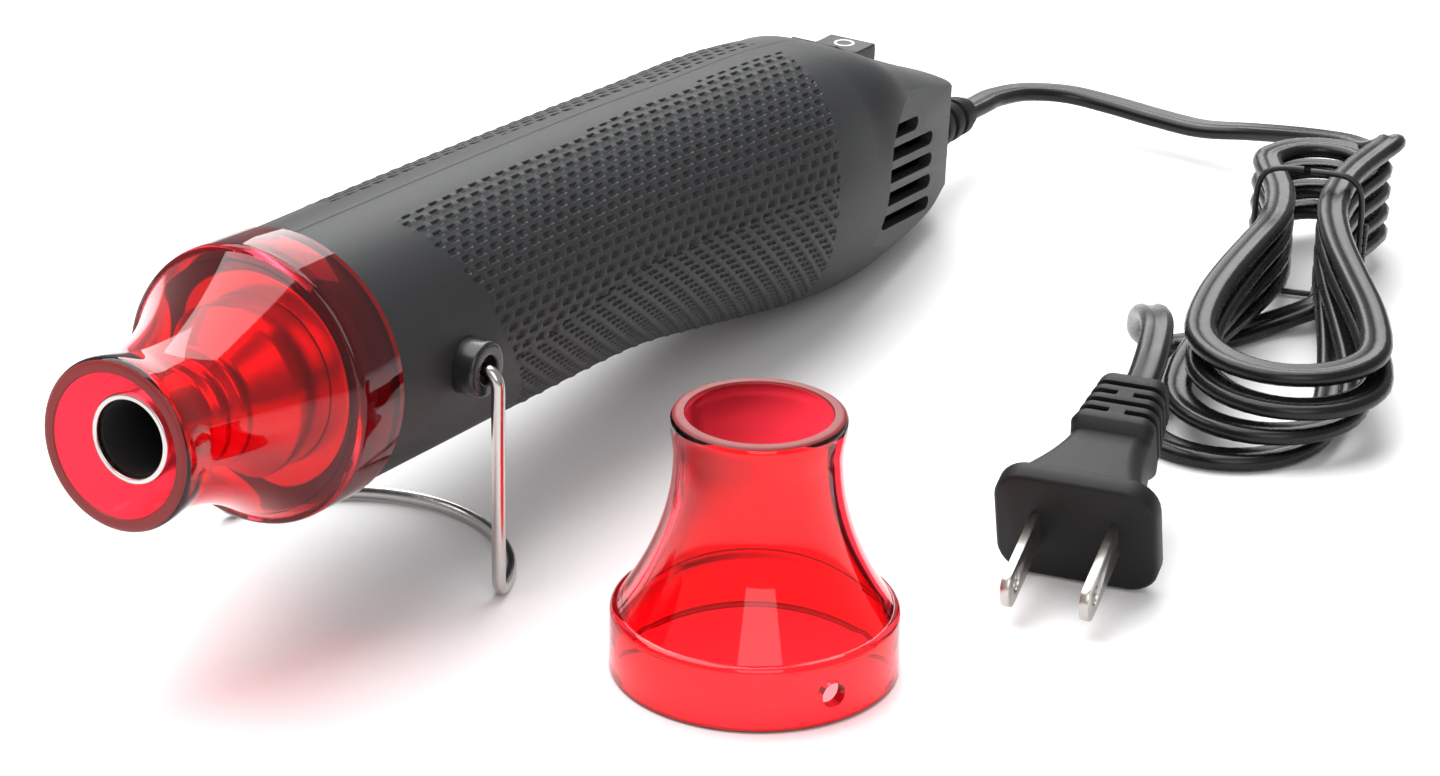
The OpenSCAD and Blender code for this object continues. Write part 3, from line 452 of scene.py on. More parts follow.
lead_out = through([hank[-1], hank[-1] + RUN_OUT * heading(hank, len(hank) - 1), *PLUG_ROUTE,
                    plug_end + RUN_OUT * plug_dir, plug_end], 6)
cord_line = lead_in + wound[1:] + lead_out[1:]
cord_line = [np.array([p[0], p[1], max(p[2], CORD_T / 2 + 0.02)]) for p in cord_line]


def twin_section(width, thick, steps=7):
    """Two round lobes side by side with a groove between them, above and below."""
    r = thick / 2
    centre = width / 2 - r
    out = []
    for side in (1, -1):
        start = -130 if side == 1 else 50
        for k in range(steps + 1):
            a = math.radians(start + 260 * k / steps)
            out.append((side * centre + r * math.cos(a), r * math.sin(a)))
    return out


points, faces = loft(swept(cord_line, twin_section(CORD_W, CORD_T), lambda d: np.cross(d, (0, 0, 1))))
cord = make("twin_cord", points, faces, CORD_BLACK,
            replaces=("power_cord", "cord_hank", "plug_cord"), sharp=60)

TIE_D, TIE_LOW = 1.1, 0.65
TIE_CLEAR, TIE_POWER = 2.2, 5
TIE_TOP = HANK_STEP * (HANK_LOOPS + 1) + CORD_T + TIE_CLEAR - 1
TIE_MID = (TIE_TOP + TIE_LOW) / 2
tie_half = WAIST_HALF + CORD_W / 2 + TIE_CLEAR
tie_line = []
for i in range(61):
    a = math.radians(90 + i * 352 / 60)
    reach = (abs(math.cos(a)) ** TIE_POWER + abs(math.sin(a)) ** TIE_POWER) ** (-1 / TIE_POWER)
    tie_line.append(on_hank(WAIST_U + i * 0.012, tie_half * reach * math.cos(a),
                            TIE_MID + (TIE_MID - TIE_LOW) * reach * math.sin(a)))
hank_along = on_hank(1, 0, 0) - on_hank(0, 0, 0)
points, faces = loft(swept(tie_line, circle(TIE_D / 2, 12), lambda d: hank_along))
tie = make("wire_tie", points, faces, TIE_BLACK, replaces=("cord_tie",), sharp=60)
for n in range(2):
    tail = []
    for i in range(41):
        t = i / 40
        a = 2 * math.pi * 3.5 * t + math.pi * n
        spread = 0.62 * smooth(6 * t) + 0.02
        tail.append(on_hank(WAIST_U + 1 + spread * math.sin(a), -tie_half - 0.9 + 0.4 * t,
                            15 - 11 * t + spread * math.cos(a)))
    points, faces = loft(swept(tail, circle(TIE_D / 2 * 0.9, 8), lambda d: hank_along))
    make(f"tie_tail_{n + 1}", points, faces, TIE_BLACK, sharp=60)

# Plug

FLANGE_R = 5.2


def plug_ring(x, w, h, r, inset=0.0, split=False):
    """A rounded rectangle across the plug's axis. A split inset leaves a bridge at the top and bottom."""
    def line(w_, h_, r_):
        out = []
        for a0, cy, cz in ((0, 1, 1), (90, -1, 1), (180, -1, -1), (270, 1, -1)):
            for k in range(8):
                a = math.radians(a0 + 90 * k / 7)
                out.append([cy * (w_ / 2 - r_) + r_ * math.cos(a), cz * (h_ / 2 - r_) + r_ * math.sin(a)])
            if a0 in (0, 180):
                out += [[cy * y, cz * h_ / 2] for y in (1.7, 1.3, -1.3, -1.7)]
        return out

    full, low = line(w, h, r), line(w - 2 * inset, h - 2 * inset, max(0.8, r - inset))
    return [(x, *(f if split and abs(f[0]) < 1.5 else g)) for f, g in zip(full, low)]


body_rings = [plug_ring(x, PLUG_W - cut, PLUG_H - cut, FLANGE_R - cut / 2)
              for x, cut in ((0.0, 1.4), (0.12, 0.7), (0.6, 0), (3.3, 0), (3.8, 0.4), (4.0, 1.0))]
NECK_END = RIDGE_L - 1.3
for t in (0, 0.1, 0.22, 0.36, 0.5, 0.65, 0.8, 0.92, 1):
    neck_w = lerp(13.2, 20.2, (1 - t) ** 1.7)
    neck_h = lerp(9.2, PLUG_H - 1.2, 1 - t)
    body_rings.append(plug_ring(lerp(4.05, NECK_END, t), neck_w, neck_h, 2.6))
body_rings += [plug_ring(RIDGE_L + 0.3, 13.8, 11.8, 2.4), plug_ring(RIDGE_L + 0.7, 14.0, 12.0, 2.4)]
RELIEF_W, RELIEF_H = (14.0, 11.4), (12.0, 9.0)
GROOVES = [(24.0, True), (26.5, False), (29.0, True), (31.5, False)]
GROOVE_EDGE = [(0.46, 1.1), (0.5, 0.3), (0.62, 0.06), (0.9, 0)]
GROOVE = [(-dx, inset) for dx, inset in GROOVE_EDGE[::-1]] + GROOVE_EDGE


def relief_size(x):
    t = (x - RIDGE_L) / (PLUG_L - RIDGE_L)
    return lerp(RELIEF_W[0], RELIEF_W[1], t), lerp(RELIEF_H[0], RELIEF_H[1], t)


for x, split in GROOVES:
    for dx, inset in GROOVE:
        w, h = relief_size(x + dx)
        body_rings.append(plug_ring(x + dx, w, h, 2.5, inset, split))
for x, inset in ((PLUG_L - 1.2, 0), (PLUG_L - 0.6, 0.15), (PLUG_L - 0.2, 0.5), (PLUG_L, 1.1)):
    w, h = relief_size(x)
    body_rings.append(plug_ring(x, w, h, 2.5, inset))
points, faces = loft(body_rings)
plug = make("plug_moulding", points, faces, PLUG_BLACK, replaces=("plug_body",), sharp=38,
            space=PLUG)

BLADE_T, BLADE_H, BLADE_PITCH, PRONG_L = 1.5, 6.3, 12.7, 17
BLADE_ROOT, BLADE_CUT, BLADE_HOLE_R, BLADE_HOLE_AT = 2, 1.6, 1.55, 4.2
blade_outline = rounded([(BLADE_ROOT, -BLADE_H / 2), (BLADE_ROOT, BLADE_H / 2),
                         (BLADE_CUT - PRONG_L, BLADE_H / 2), (-PRONG_L, BLADE_H / 2 - BLADE_CUT),
                         (-PRONG_L, BLADE_CUT - BLADE_H / 2), (BLADE_CUT - PRONG_L, -BLADE_H / 2)],
                        [0, 0, 1, 1, 1, 1], 4)
blade_points, blade_faces = [], []
for side in (1, -1):
    y = side * BLADE_PITCH / 2
    p, f = prism(blade_outline, y - BLADE_T / 2, y + BLADE_T / 2, "y")
    blade_faces += [tuple(k + len(blade_points) for k in face) for face in f]
    blade_points += p
blades = make("blade_pair", blade_points, blade_faces, NICKEL, replaces=("plug_blades",),
              space=PLUG)
hole_outline = circle_at(BLADE_HOLE_AT - PRONG_L, 0, BLADE_HOLE_R, 32)
hole = cutter(*prism(hole_outline, -12, 12, "y"), space=PLUG)
cut_away(blades, [hole])
bevelled(blades, 0.22, 2)

# Guards

GUARD_L, BAND_R, BAND_L, GUARD_WALL = 42, 22, 9.5, 2
NECK_R, LIP_R, LIP_ROUND, NECK_S, SHOULDER = 12.7, 13.3, 1.1, 7, 1.1
BELL_S = GUARD_L - BAND_L - SHOULDER
STEP_S = BELL_S + GUARD_WALL
GUARD_HOLE_R = 2
HOLE_NEAR, HOLE_FAR = 15, 27
RIM_FRONT, RIM_REAR = 0.32 * LIP_ROUND, GUARD_L - 0.32


def bell_r(s):
    """The guard's outer radius at a place along it."""
    t = min(1, max(0, (s - NECK_S) / (BELL_S - NECK_S)))
    flare = 1 - smooth((s - LIP_ROUND) / (NECK_S - LIP_ROUND))
    return NECK_R + (BAND_R - SHOULDER - NECK_R) * t * t + (LIP_R - NECK_R) * flare


def guard_outline():
    """The guard's wall as a closed outline: outside to the band's end, then back along the inside."""
    outer = [(LIP_ROUND * (1 - math.cos(a)), LIP_R - LIP_ROUND * (1 - math.sin(a)))
             for a in np.radians(np.arange(0, 90, 15))]
    bell = [LIP_ROUND + (BELL_S - LIP_ROUND) * i / 40 for i in range(41)]
    outer += [(s, bell_r(s)) for s in bell]
    outer += [(BELL_S + SHOULDER * (1 - math.cos(a)), BAND_R - SHOULDER * (1 - math.sin(a)))
              for a in np.radians(np.arange(15, 91, 15))]
    outer += [(GUARD_L - 0.3, BAND_R), (GUARD_L, BAND_R - 0.3), (GUARD_L, BAND_R - GUARD_WALL)]
    outer += [(STEP_S + 0.4, BAND_R - GUARD_WALL), (STEP_S, BAND_R - GUARD_WALL - 0.3)]
    inner = [(s, bell_r(s) - GUARD_WALL * (1 if i == 0 else 1.1)) for i, s in enumerate(bell)]
    return outer + inner[::-1] + [(0.25, LIP_R - GUARD_WALL - 0.25), (0, LIP_R - GUARD_WALL - 0.05)]


GUARD = guard_outline()
SPARE = (PLACED @ Matrix.Translation((63, -71, GUARD_L)) @ Matrix.Rotation(math.radians(-117), 4, "Z")
         @ Matrix.Rotation(math.radians(90), 4, "Y"))


def guard(name, space, body, node, hole_side):
    """One guard, with its hole in the band and its ground rims in a duller red."""
    points_, faces_ = lathe(GUARD, 144)
    piece = make(name, points_, faces_, RED, body=body, replaces=(node,), sharp=50,
                 space=space)
    low, high = sorted((hole_side * HOLE_NEAR, hole_side * HOLE_FAR))
    outline = circle_at(GUARD_L - BAND_L / 2, 0, GUARD_HOLE_R, 40)
    cut_away(piece, [cutter(*prism(outline, low, high), space=space)])
    piece.data.set_sharp_from_angle(angle=math.radians(40))
    piece.data.materials.append(RIM_RED)
    back = space.inverted()
    for face in piece.data.polygons:
        s = (back @ face.center).x
        if s < RIM_FRONT or s > RIM_REAR:
            face.material_index = 1
    return piece


guard("nozzle_guard_shell", TOOL, "guard", "nozzle_guard", -1)
guard("spare_guard_shell", SPARE, "spare_guard", "spare_nozzle_guard", 1)

# Nozzle

RECESS, TIP_R, HEAT_R, TIP_L, BEAD, STEEL_T = 3.5, 7, 13, 10, 0.35, 0.7
CONE_S, CONE_L, HEAT_END = 22, 5, 74
STEP_PITCH, STEP_RISE = 3.91, 1.1
nozzle = [(RECESS, TIP_R - 0.9), (RECESS, TIP_R), (RECESS + 1.3, TIP_R), (RECESS + 1.5, TIP_R - BEAD),
          (RECESS + TIP_L, TIP_R - BEAD)]
for k in range(2):
    s, r = RECESS + TIP_L + 1 + k * STEP_PITCH, TIP_R + k * STEP_RISE
    nozzle += [(s, r + STEP_RISE), (s + 1.7, r + STEP_RISE), (s + 2.21, r + 0.3), (s + 2.89, r + 0.3)]
nozzle += [(CONE_S + CONE_L, HEAT_R), (HEAT_END, HEAT_R), (HEAT_END, HEAT_R - STEEL_T),
           (CONE_S + CONE_L + 0.5, HEAT_R - STEEL_T), (CONE_S, TIP_R + 1.1 - STEEL_T),
           (RECESS + TIP_L + 1.2, TIP_R - BEAD - STEEL_T), (RECESS + 0.3, TIP_R - BEAD - STEEL_T)]
points, faces = lathe(rounded(nozzle, 0.5, 4), 128)
make("stepped_nozzle", points, faces, STEEL, replaces=("nozzle_tube",), space=TOOL)
# A near-black sleeve just inside the nozzle's bore: painted shade where the inside of the tube is dark.
lining = rounded([(RECESS + 1.2, 5.93), (RECESS + 1.2, 5.7), (RECESS + TIP_L, 5.6), (HEAT_END - 50, 6.6),
                  (HEAT_END - 50, 6.9), (RECESS + TIP_L + 1, 5.93)], 0.1, 2)
points, faces = lathe(lining, 96)
make("bore_shade_lining", points, faces, BORE_SHADE, space=TOOL)
FLANGE_S, FLANGE_OUT, FLANGE_IN = (34.8, 35.8), 16.5, HEAT_R + 0.06
flange = [(FLANGE_S[0], FLANGE_IN), (FLANGE_S[0], FLANGE_OUT), (FLANGE_S[1], FLANGE_OUT),
          (FLANGE_S[1], FLANGE_IN)]
points, faces = lathe(rounded(flange, 0.25, 3), 128)
make("flange_ring", points, faces, STEEL, replaces=("heater_flange",), space=TOOL)

# Housing

BODY_R, BODY_S, WALL, BELLY = 21.2, 42.3, 2.2, -29.8
# Each section is a place along the tool, a half width, a top, a bottom and how square it is.
SECTIONS = [(BODY_S - 2, BODY_R, BODY_R, -BODY_R, 2),
            (66, BODY_R, BODY_R, -BODY_R, 2),
            (90, BODY_R, BODY_R - 0.1, -BODY_R, 2),
            (125, BODY_R, 20.6, -21.6, 2),
            (150, 22, 19.8, -24.4, 2.05),
            (176, 22.4, 19.1, -28, 2.15),
            (196, 20.8, 16.8, BELLY + 0.2, 2.25),
            (212, 18.6, 11.2, BELLY + 1.8, 2.35),
            (228, 16.2, 5.4, BELLY + 5.2, 2.5),
            (236, 14.4, 2.8, BELLY + 8.2, 2.5),
            (TOOL_L, 12.8, 0.4, BELLY + 10.4, 2.5)]
PROFILE = np.array(through(SECTIONS, 12))
PANEL_S, PANEL_Y, PANEL_ANGLE = 186, 20.6, math.radians(11)
END_HALF, END_ROUND = 12, 10
END_S = TOOL_L - END_ROUND
SHOULDER_SQUARE, SHOULDER_S, SHOULDER_L = 0.95, 190, 17
PANEL_INSIDE = 189
# The panel's edge at the front, each point as a place along the tool and a height.
PANEL_EDGE = [(186, -36), (190, -26), (192.4, -17.9), (194.6, -12.5), (195.2, -7), (195.5, -2.9),
              (197.2, 1.5), (200.2, 4.6), (204.5, 6.7), (209.4, 7.8), (216, 13)]
COLUMNS = 216
PIT_ROWS, PIT_COLUMNS, RIDGE_ROWS = 8, 6, 10
GRIP_PERIOD = 3.84
PIT_STEP = GRIP_PERIOD / PIT_ROWS
PIT_DEPTH, BUMP, RIDGE = 0.42, 0.1, 0.15
LOW_PIT_DEPTH = 0.8 * PIT_DEPTH
SEAM_DEPTH, SEAM_GAP = 0.1, 0.03
GRIP_HIGH, GRIP_LOW = 86, -80
FAR_RAISE = 6
# The grip's edges. The low zone and the top are an angle at each place, the ends a place at each angle.
LOW_ZONE = [(60, -14), (91, -2), (110, 5), (180, 8)]
FRONT_EDGE = [(-90, 96), (-60, 89), (-41, 83), (4, 71), (16, 69), (32, 66), (43, 64), (57, 62), (90, 58)]
REAR_EDGE = [(-90, 180), (-33, 175), (-13, 174), (5, 173.5), (26, 175.5), (47, 178.5), (61, 180.5), (90, 184)]
TOP_EDGE = [(58, 69), (60.5, 71), (119, 76), (156.5, 81), (184, 81)]


def edge_at(table, x):
    """The value of a table of points at x, on straight lines between them."""
    t = np.array(table, float)
    return np.interp(x, t[:, 0], t[:, 1])


def surface(s, angle, inset):
    """A point of the +Y half's skin, at a place along the tool and an angle up from the side."""
    b, top, low, square = (np.interp(s, PROFILE[:, 0], PROFILE[:, i]) for i in range(1, 5))
    if angle > 0:
        square += SHOULDER_SQUARE * smooth((s - SHOULDER_S) / SHOULDER_L)
    top, low, b, e = top - inset, low + inset, b - inset, 2 / square
    mid, half, up = (top + low) / 2, (top - low) / 2, math.sin(angle)
    y = b * max(0.0, math.cos(angle)) ** e
    w = mid + half * math.copysign(abs(up) ** e, up)
    if inset and s > PANEL_INSIDE:
        y = min(y, PANEL_Y - inset / math.cos(PANEL_ANGLE) - (s - PANEL_S) * math.tan(PANEL_ANGLE))
    if s > END_S:
        y = min(y, END_HALF - END_ROUND + math.sqrt(max(0, (END_ROUND - inset) ** 2 - (s - END_S) ** 2)))
    return s, y, w


def pit(i, k, s, angle, side):
    """How deep the grip's pattern goes in at row i and column k of the skin: below zero it stands out."""
    a = math.degrees(angle)
    top = edge_at(TOP_EDGE, s) + (FAR_RAISE if side > 0 else 0)
    if not edge_at(FRONT_EDGE, a) < s < edge_at(REAR_EDGE, a):
        return 0.0
    if a > min(top, GRIP_HIGH) or a < GRIP_LOW:
        return 0.0
    if a > edge_at(LOW_ZONE, s):
        row, column = divmod(k, PIT_COLUMNS)
        phase = (i + PIT_ROWS // 2 * (row % 2)) % PIT_ROWS
        if column not in (1, 2, 3) or phase in (0, 5):
            return 0.0
        return PIT_DEPTH if phase < 5 else -BUMP
    phase = (i + k) % RIDGE_ROWS
    if phase in (0, 1):
        return -RIDGE
    return LOW_PIT_DEPTH if phase in (4, 5, 7, 8) and k % 4 in (1, 2) else 0.0


def rows_of_skin():
    """Places along the tool for the skin's rows: before the grip, on it and behind it."""
    rows = [BODY_S, BODY_S + 0.4, 45, 48, 51, 54, 56.5]
    grip = list(np.arange(58, 188, PIT_STEP))
    rear = list(np.arange(grip[-1] + PIT_STEP, END_S, 1.0))
    rear += [END_S + END_ROUND * math.sin(a) for a in np.radians(np.arange(0, 91, 7.5))]
    return rows, grip, rear


def half_skin(side):
    """Half the housing as one closed shell: side is 1 for +Y and -1 for -Y."""
    before, grip, rear = rows_of_skin()
    stations = before + grip + rear
    angles = [math.pi * k / COLUMNS - math.pi / 2 for k in range(COLUMNS + 1)]
    outer = np.array([[surface(s, a, 0) for a in angles] for s in stations])
    along = np.gradient(outer, axis=0)
    round_ = np.gradient(outer, axis=1)
    normal = np.cross(along, round_)
    length = np.linalg.norm(normal, axis=2, keepdims=True)
    normal = -normal / np.where(length > 1e-9, length, 1)
    if normal[10, COLUMNS // 2][1] < 0:
        normal = -normal
    for n, s in enumerate(stations):
        i = n - len(before)
        for k, a in enumerate(angles):
            d = pit(i, k, s, a, side) if 0 <= i < len(grip) else 0.0
            if k in (0, COLUMNS):
                d = SEAM_DEPTH
            if d:
                outer[n, k] -= normal[n, k] * d
    floor_w = (outer[:, :, 0] * math.sin(TILT) - MOUTH_Z) / math.cos(TILT) + 0.01
    outer[:, :, 2] = np.maximum(outer[:, :, 2], floor_w)
    outer[:, :, 1] = np.maximum(outer[:, :, 1], SEAM_GAP)
    outer[:, 0, 1] = SEAM_GAP
    outer[:, -1, 1] = SEAM_GAP
    inner_s = [BODY_S, 66, 90, 108, 125, 138, 150, 163, 176, 186, 191, 195, 199, 206, 214, 222, 228]
    inner_s += [END_S, END_S + 2.6, END_S + 5, TOOL_L - WALL]
    inner = np.array([[surface(s, a, WALL) for a in angles] for s in inner_s])
    inner[:, :, 1] = np.maximum(inner[:, :, 1], SEAM_GAP)
    inner[:, 0, 1] = SEAM_GAP
    inner[:, -1, 1] = SEAM_GAP
    n = COLUMNS + 1
    points_ = np.concatenate([outer.reshape(-1, 3), inner.reshape(-1, 3)])
    base = len(stations) * n
    faces_ = []
    for i in range(len(stations) - 1):
        for k in range(COLUMNS):
            faces_.append((i * n + k, (i + 1) * n + k, (i + 1) * n + k + 1, i * n + k + 1))
    for i in range(len(inner_s) - 1):
        for k in range(COLUMNS):
            a = base + i * n + k
            faces_.append((a, a + 1, a + n + 1, a + n))
    for k in range(COLUMNS):
        faces_.append((k, k + 1, base + k + 1, base + k))
    last_inner = base + (len(inner_s) - 1) * n
    faces_.append(tuple(last_inner + k for k in range(n)))
    faces_.append(tuple((len(stations) - 1) * n + k for k in range(n)))
    split = max(i for i, s in enumerate(stations) if s <= inner_s[-1])
    for edge in (0, COLUMNS):
        i = j = 0
        while i < split or j < len(inner_s) - 1:
            o, q = i * n + edge, base + j * n + edge
            if j == len(inner_s) - 1 or (i < split and stations[i + 1] <= inner_s[j + 1]):
                faces_.append((o, o + n, q))
                i += 1
            else:
                faces_.append((o, q + n, q))
                j += 1
    tail_low = [i * n for i in range(split, len(stations))]
    tail_high = [i * n + COLUMNS for i in range(split, len(stations))]
    faces_.append(tuple(tail_low + tail_high[::-1] + [last_inner + COLUMNS, last_inner]))
    points_[:, 1] *= side
    return points_, faces_


SLOT_H, SLOT_PITCH, SLOT_SLOPE, SLOT_TOP = 2.6, 4.2, math.radians(-7.9), 3.9
SLOT_RUN = [(13.8, 31.5), (10.8, 41.6), (10.2, 42), (9.9, 42), (12.6, 41.8)]
SLOT_END = 2.1
SLOT_IN, SLOT_OUT = -WALL - 1.6, 0.35
GLAND_R, BOSS_HOLE_R, BOSS_AT = 3.45, 4.55, 60
BOX_L, BOX_W, BOX_LOW, BOX_HIGH = 20.04, 12.8, -5, 25
SWITCH = TOOL @ Matrix.Translation((209.5, 0, 12.2)) @ Matrix.Rotation(math.radians(22), 4, "Y")


def slot_outline(i):
    """A vent slot in the panel's plane: round at the rear, slanted at the front but for the lowest."""
    u0, u1 = SLOT_RUN[i]
    r = SLOT_H / 2
    turns = np.radians(np.arange(0, 181, 15))
    right_end = [(u1 - SLOT_END + SLOT_END * math.sin(a), r * math.cos(a)) for a in turns]
    if i == len(SLOT_RUN) - 1:
        left_end = [(u0 + SLOT_END * (1 - math.sin(a)), -r * math.cos(a)) for a in turns]
    else:
        left_end = [(u0, -r), (u0 + 0.9, r)]
    c, n = math.cos(SLOT_SLOPE), math.sin(SLOT_SLOPE)
    return [(x * c - y * n, x * n + y * c + SLOT_TOP - i * SLOT_PITCH) for x, y in right_end + left_end]


def housing_cutters(side):
    """What is cut from one half: the vent panel, its slots, the cord's and boss's holes and the switch."""
    panel = (TOOL @ Matrix.Scale(side, 4, (0, 1, 0)) @ Matrix.Translation((PANEL_S, PANEL_Y, 0))
             @ Matrix.Rotation(-PANEL_ANGLE, 4, "Z"))
    edge = [(s, w) for s, w in through(PANEL_EDGE, 5)] + [(TOOL_L + 20, 13), (TOOL_L + 20, -36)]
    face_ = [((s - PANEL_S) / math.cos(PANEL_ANGLE), w) for s, w in edge]
    made = [cutter(*prism(face_, 0, 12, "y"), space=panel)]
    for i in range(len(SLOT_RUN)):
        made.append(cutter(*prism(slot_outline(i), SLOT_IN, SLOT_OUT, "y"), space=panel))
    made.append(cutter(*prism(circle_at(0, GLAND_W, GLAND_R, 48), TOOL_L - 4.4, TOOL_L + 3, "x")))
    made.append(cutter(*prism(circle_at(BOSS_AT, 0, BOSS_HOLE_R, 48), side * 8, side * 30, "y")))
    box = [(-BOX_L / 2, -BOX_W / 2), (BOX_L / 2, -BOX_W / 2), (BOX_L / 2, BOX_W / 2), (-BOX_L / 2, BOX_W / 2)]
    made.append(cutter(*prism(box, BOX_LOW, BOX_HIGH), space=SWITCH))
    return made


POSTS = [((137, 9), 16.3), ((137, -9), 18.0), ((184, -19), 15.7), ((229, -3), 11.7)]
POST_R, SCREW_HOLE_R, SEAT_T = 3.2, 2.8, 3
for side, name, node in ((-1, "shell_near", "housing_left"), (1, "shell_far", "housing_right")):
    points, faces = half_skin(side)
    shell = make(name, points, faces, CHARCOAL, replaces=(node,), space=TOOL,
                 sharp=33)
    tools = housing_cutters(side)
    if side == 1:
        for (s, w), end in POSTS:
            tools.append(cutter(*prism(circle_at(s, w, SCREW_HOLE_R, 32), end - 4, 30, "y")))
    cut_away(shell, tools)
    shell.data.set_sharp_from_angle(angle=math.radians(24))

well_points, well_faces = [], []
for (s, w), end in POSTS:
    low = end - SEAT_T - 1.2
    ring = rounded([(low, 1.6), (low, POST_R), (end, POST_R), (end, SCREW_HOLE_R + 0.02),
                    (end - SEAT_T, SCREW_HOLE_R + 0.02), (end - SEAT_T, 1.6)], 0.15, 2)
    p, f = lathe(ring, 40)
    well_faces += [tuple(k + len(well_points) for k in face) for face in f]
    well_points += [(s + y, x, w + z) for x, y, z in p]
make("screw_wells", well_points, well_faces, CHARCOAL, space=TOOL)

# Stand

WIRE_D, WIRE_BEND, PIVOT_S, BOSS_OUT, PIN_IN = 2.2, 2.6, 60, 3.8, 17.4
BOSS_END = BODY_R + BOSS_OUT
LEG_Y = BOSS_END + WIRE_D / 2 + 0.6
PIVOT = np.array([PIVOT_S * math.cos(TILT), 0, MOUTH_Z - PIVOT_S * math.sin(TILT)])
FOOT_TURN = math.radians(18)
pin_end = LEG_Y - WIRE_BEND
foot_dir = np.array([math.cos(FOOT_TURN), math.sin(FOOT_TURN), 0])
foot_start = np.array([0, -LEG_Y, 0]) + WIRE_BEND * foot_dir
foot_r = -foot_start[1] / math.cos(FOOT_TURN)
foot_mid = foot_start[0] - foot_r * math.sin(FOOT_TURN)
leg_low = WIRE_D / 2 + WIRE_BEND
half_wire = [np.array([0, -PIN_IN, 0.0]), np.array([0, 1 - pin_end, 0.0])]
half_wire += [np.array([0, -pin_end - WIRE_BEND * math.sin(a), WIRE_BEND * (math.cos(a) - 1)])
              for a in np.radians(np.arange(0, 91, 10))]
half_wire += [np.array([0, -LEG_Y, leg_low - PIVOT[2]]) + WIRE_BEND * (1 - math.cos(a)) * foot_dir
              - np.array([0, 0, WIRE_BEND * math.sin(a)]) for a in np.radians(np.arange(0, 91, 10))]
arc = [np.array([foot_mid + foot_r * math.cos(a), foot_r * math.sin(a), WIRE_D / 2 - PIVOT[2]])
       for a in np.linspace(FOOT_TURN - math.pi / 2, math.pi / 2 - FOOT_TURN, 49)[1:-1]]
wire = half_wire + arc + [p * np.array([1, -1, 1]) for p in half_wire[::-1]]
wire_section = circle(WIRE_D / 2 - 0.01, 24)
points, faces = loft(swept([p + PIVOT for p in wire], wire_section, lambda d: np.cross(d, (1, 0, 0))))
make("bent_wire_stand", points, faces, NICKEL_WIRE, body="stand",
     replaces=("stand_wire",), sharp=60)

BOSS_IN, BOSS_R, BOSS_DISH_R, BOSS_DISH, BOSS_BORE_R = 15.5, 4.5, 2.3, 1.4, 1.15
boss = rounded([(BOSS_IN, BOSS_BORE_R), (BOSS_IN, BOSS_R), (BOSS_END, BOSS_R), (BOSS_END, BOSS_DISH_R),
                (BOSS_END - BOSS_DISH, BOSS_DISH_R), (BOSS_END - BOSS_DISH, BOSS_BORE_R)],
               [0.2, 0.2, 0.8, 0.4, 0.1, 0.1], 5)
for side, name in ((-1, "stand_boss_left"), (1, "stand_boss_right")):
    points, faces = lathe(boss, 64)
    turned = [(PIVOT_S + y, side * x, z) for x, y, z in points]
    make("near_boss" if side < 0 else "far_boss", turned, faces, GLOSS_BLACK,
         replaces=(name,), space=TOOL)

# Switch

ROCKER_W, ROCKER_PIVOT, ROCKER_REACH, ROCKER_TIP = 9.4, -2, 8.319, 22
end_angle = math.atan2(3.6, 7.5)
arc_down = [(ROCKER_REACH * math.cos(a), ROCKER_PIVOT + ROCKER_REACH * math.sin(a))
            for a in np.linspace(end_angle, math.radians(-18), 12)]
dip = [(7.5 * t, 0.1 + 1.5 * t ** 1.25) for t in np.linspace(0, 1, 8)[1:-1]]
rocker = ([(0, 0.1)] + dip + arc_down + [(5.9, -4.6), (-5.9, -4.6)] + [(-x, z) for x, z in arc_down[::-1]]
          + [(-x, z) for x, z in dip[::-1]])
ROCKED = (SWITCH @ Matrix.Translation((0, 0, ROCKER_PIVOT))
          @ Matrix.Rotation(math.radians(-ROCKER_TIP / 2), 4, "Y")
          @ Matrix.Translation((0, 0, -ROCKER_PIVOT)))
points, faces = prism(rocker, -ROCKER_W / 2, ROCKER_W / 2, "y")
button = make("rocker_cap", points, faces, SWITCH_BLACK, body="rocker",
              replaces=("rocker_button",), space=ROCKED, sharp=20)
bevelled(button, 0.3, 3, 30)


MARK_LOW, MARK_HIGH = -0.03, 0.06


def mark(name, outlines, at_x, lean):
    """A thin mark that lies on the rocker's face."""
    height = 0.1 + 1.5 * (abs(at_x) / 7.5) ** 1.25
    space = ROCKED @ Matrix.Translation((at_x, 0, height)) @ Matrix.Rotation(lean, 4, "Y")
    outer, inner_ = outlines
    levels = ((outer, MARK_LOW), (outer, MARK_HIGH), (inner_, MARK_HIGH), (inner_, MARK_LOW))
    rings = [[(x, y, z) for x, y in line] for line, z in levels]
    points_, faces_ = loft(rings, closed=True)
    make(name, points_, faces_, MARK, body="rocker", space=space)


mark("off_mark", (circle(1.9, 40), circle(1.4, 40)), 4.3, math.radians(-13))
bar = [(-1.7, -0.26), (1.7, -0.26), (1.7, 0.26), (-1.7, 0.26)]
bar = rounded(bar, 0.1, 2)
mark("on_mark", (bar, [(x * 0.05, y * 0.05) for x, y in bar]), -4.3, math.radians(13))

# Strain relief

relief = [(-5.0, 0.0), (-5.0, 5), (-3.0, 5), (-3.0, 3.35), (0.05, 3.35)]
for i in range(5):
    z, r = 0.05 + i * 4.2, lerp(4.6, 3.8, i / 4)
    relief += [(z, r), (z + 2.5, r), (z + 2.5, 3.1), (z + 4.2, 3.1)]
relief += [(RELIEF_OUT, 3.1), (RELIEF_OUT, 0.0)]
line = rounded(relief, 0.45, 4)
points, faces = lathe([(s, max(r, 0.0)) for s, r in line], 64)
make("cord_bush", [(TOOL_L + x, y, GLAND_W + z) for x, y, z in points], faces, PLUG_BLACK,
     replaces=("strain_relief",), space=TOOL)

# Finishes of the parts inside

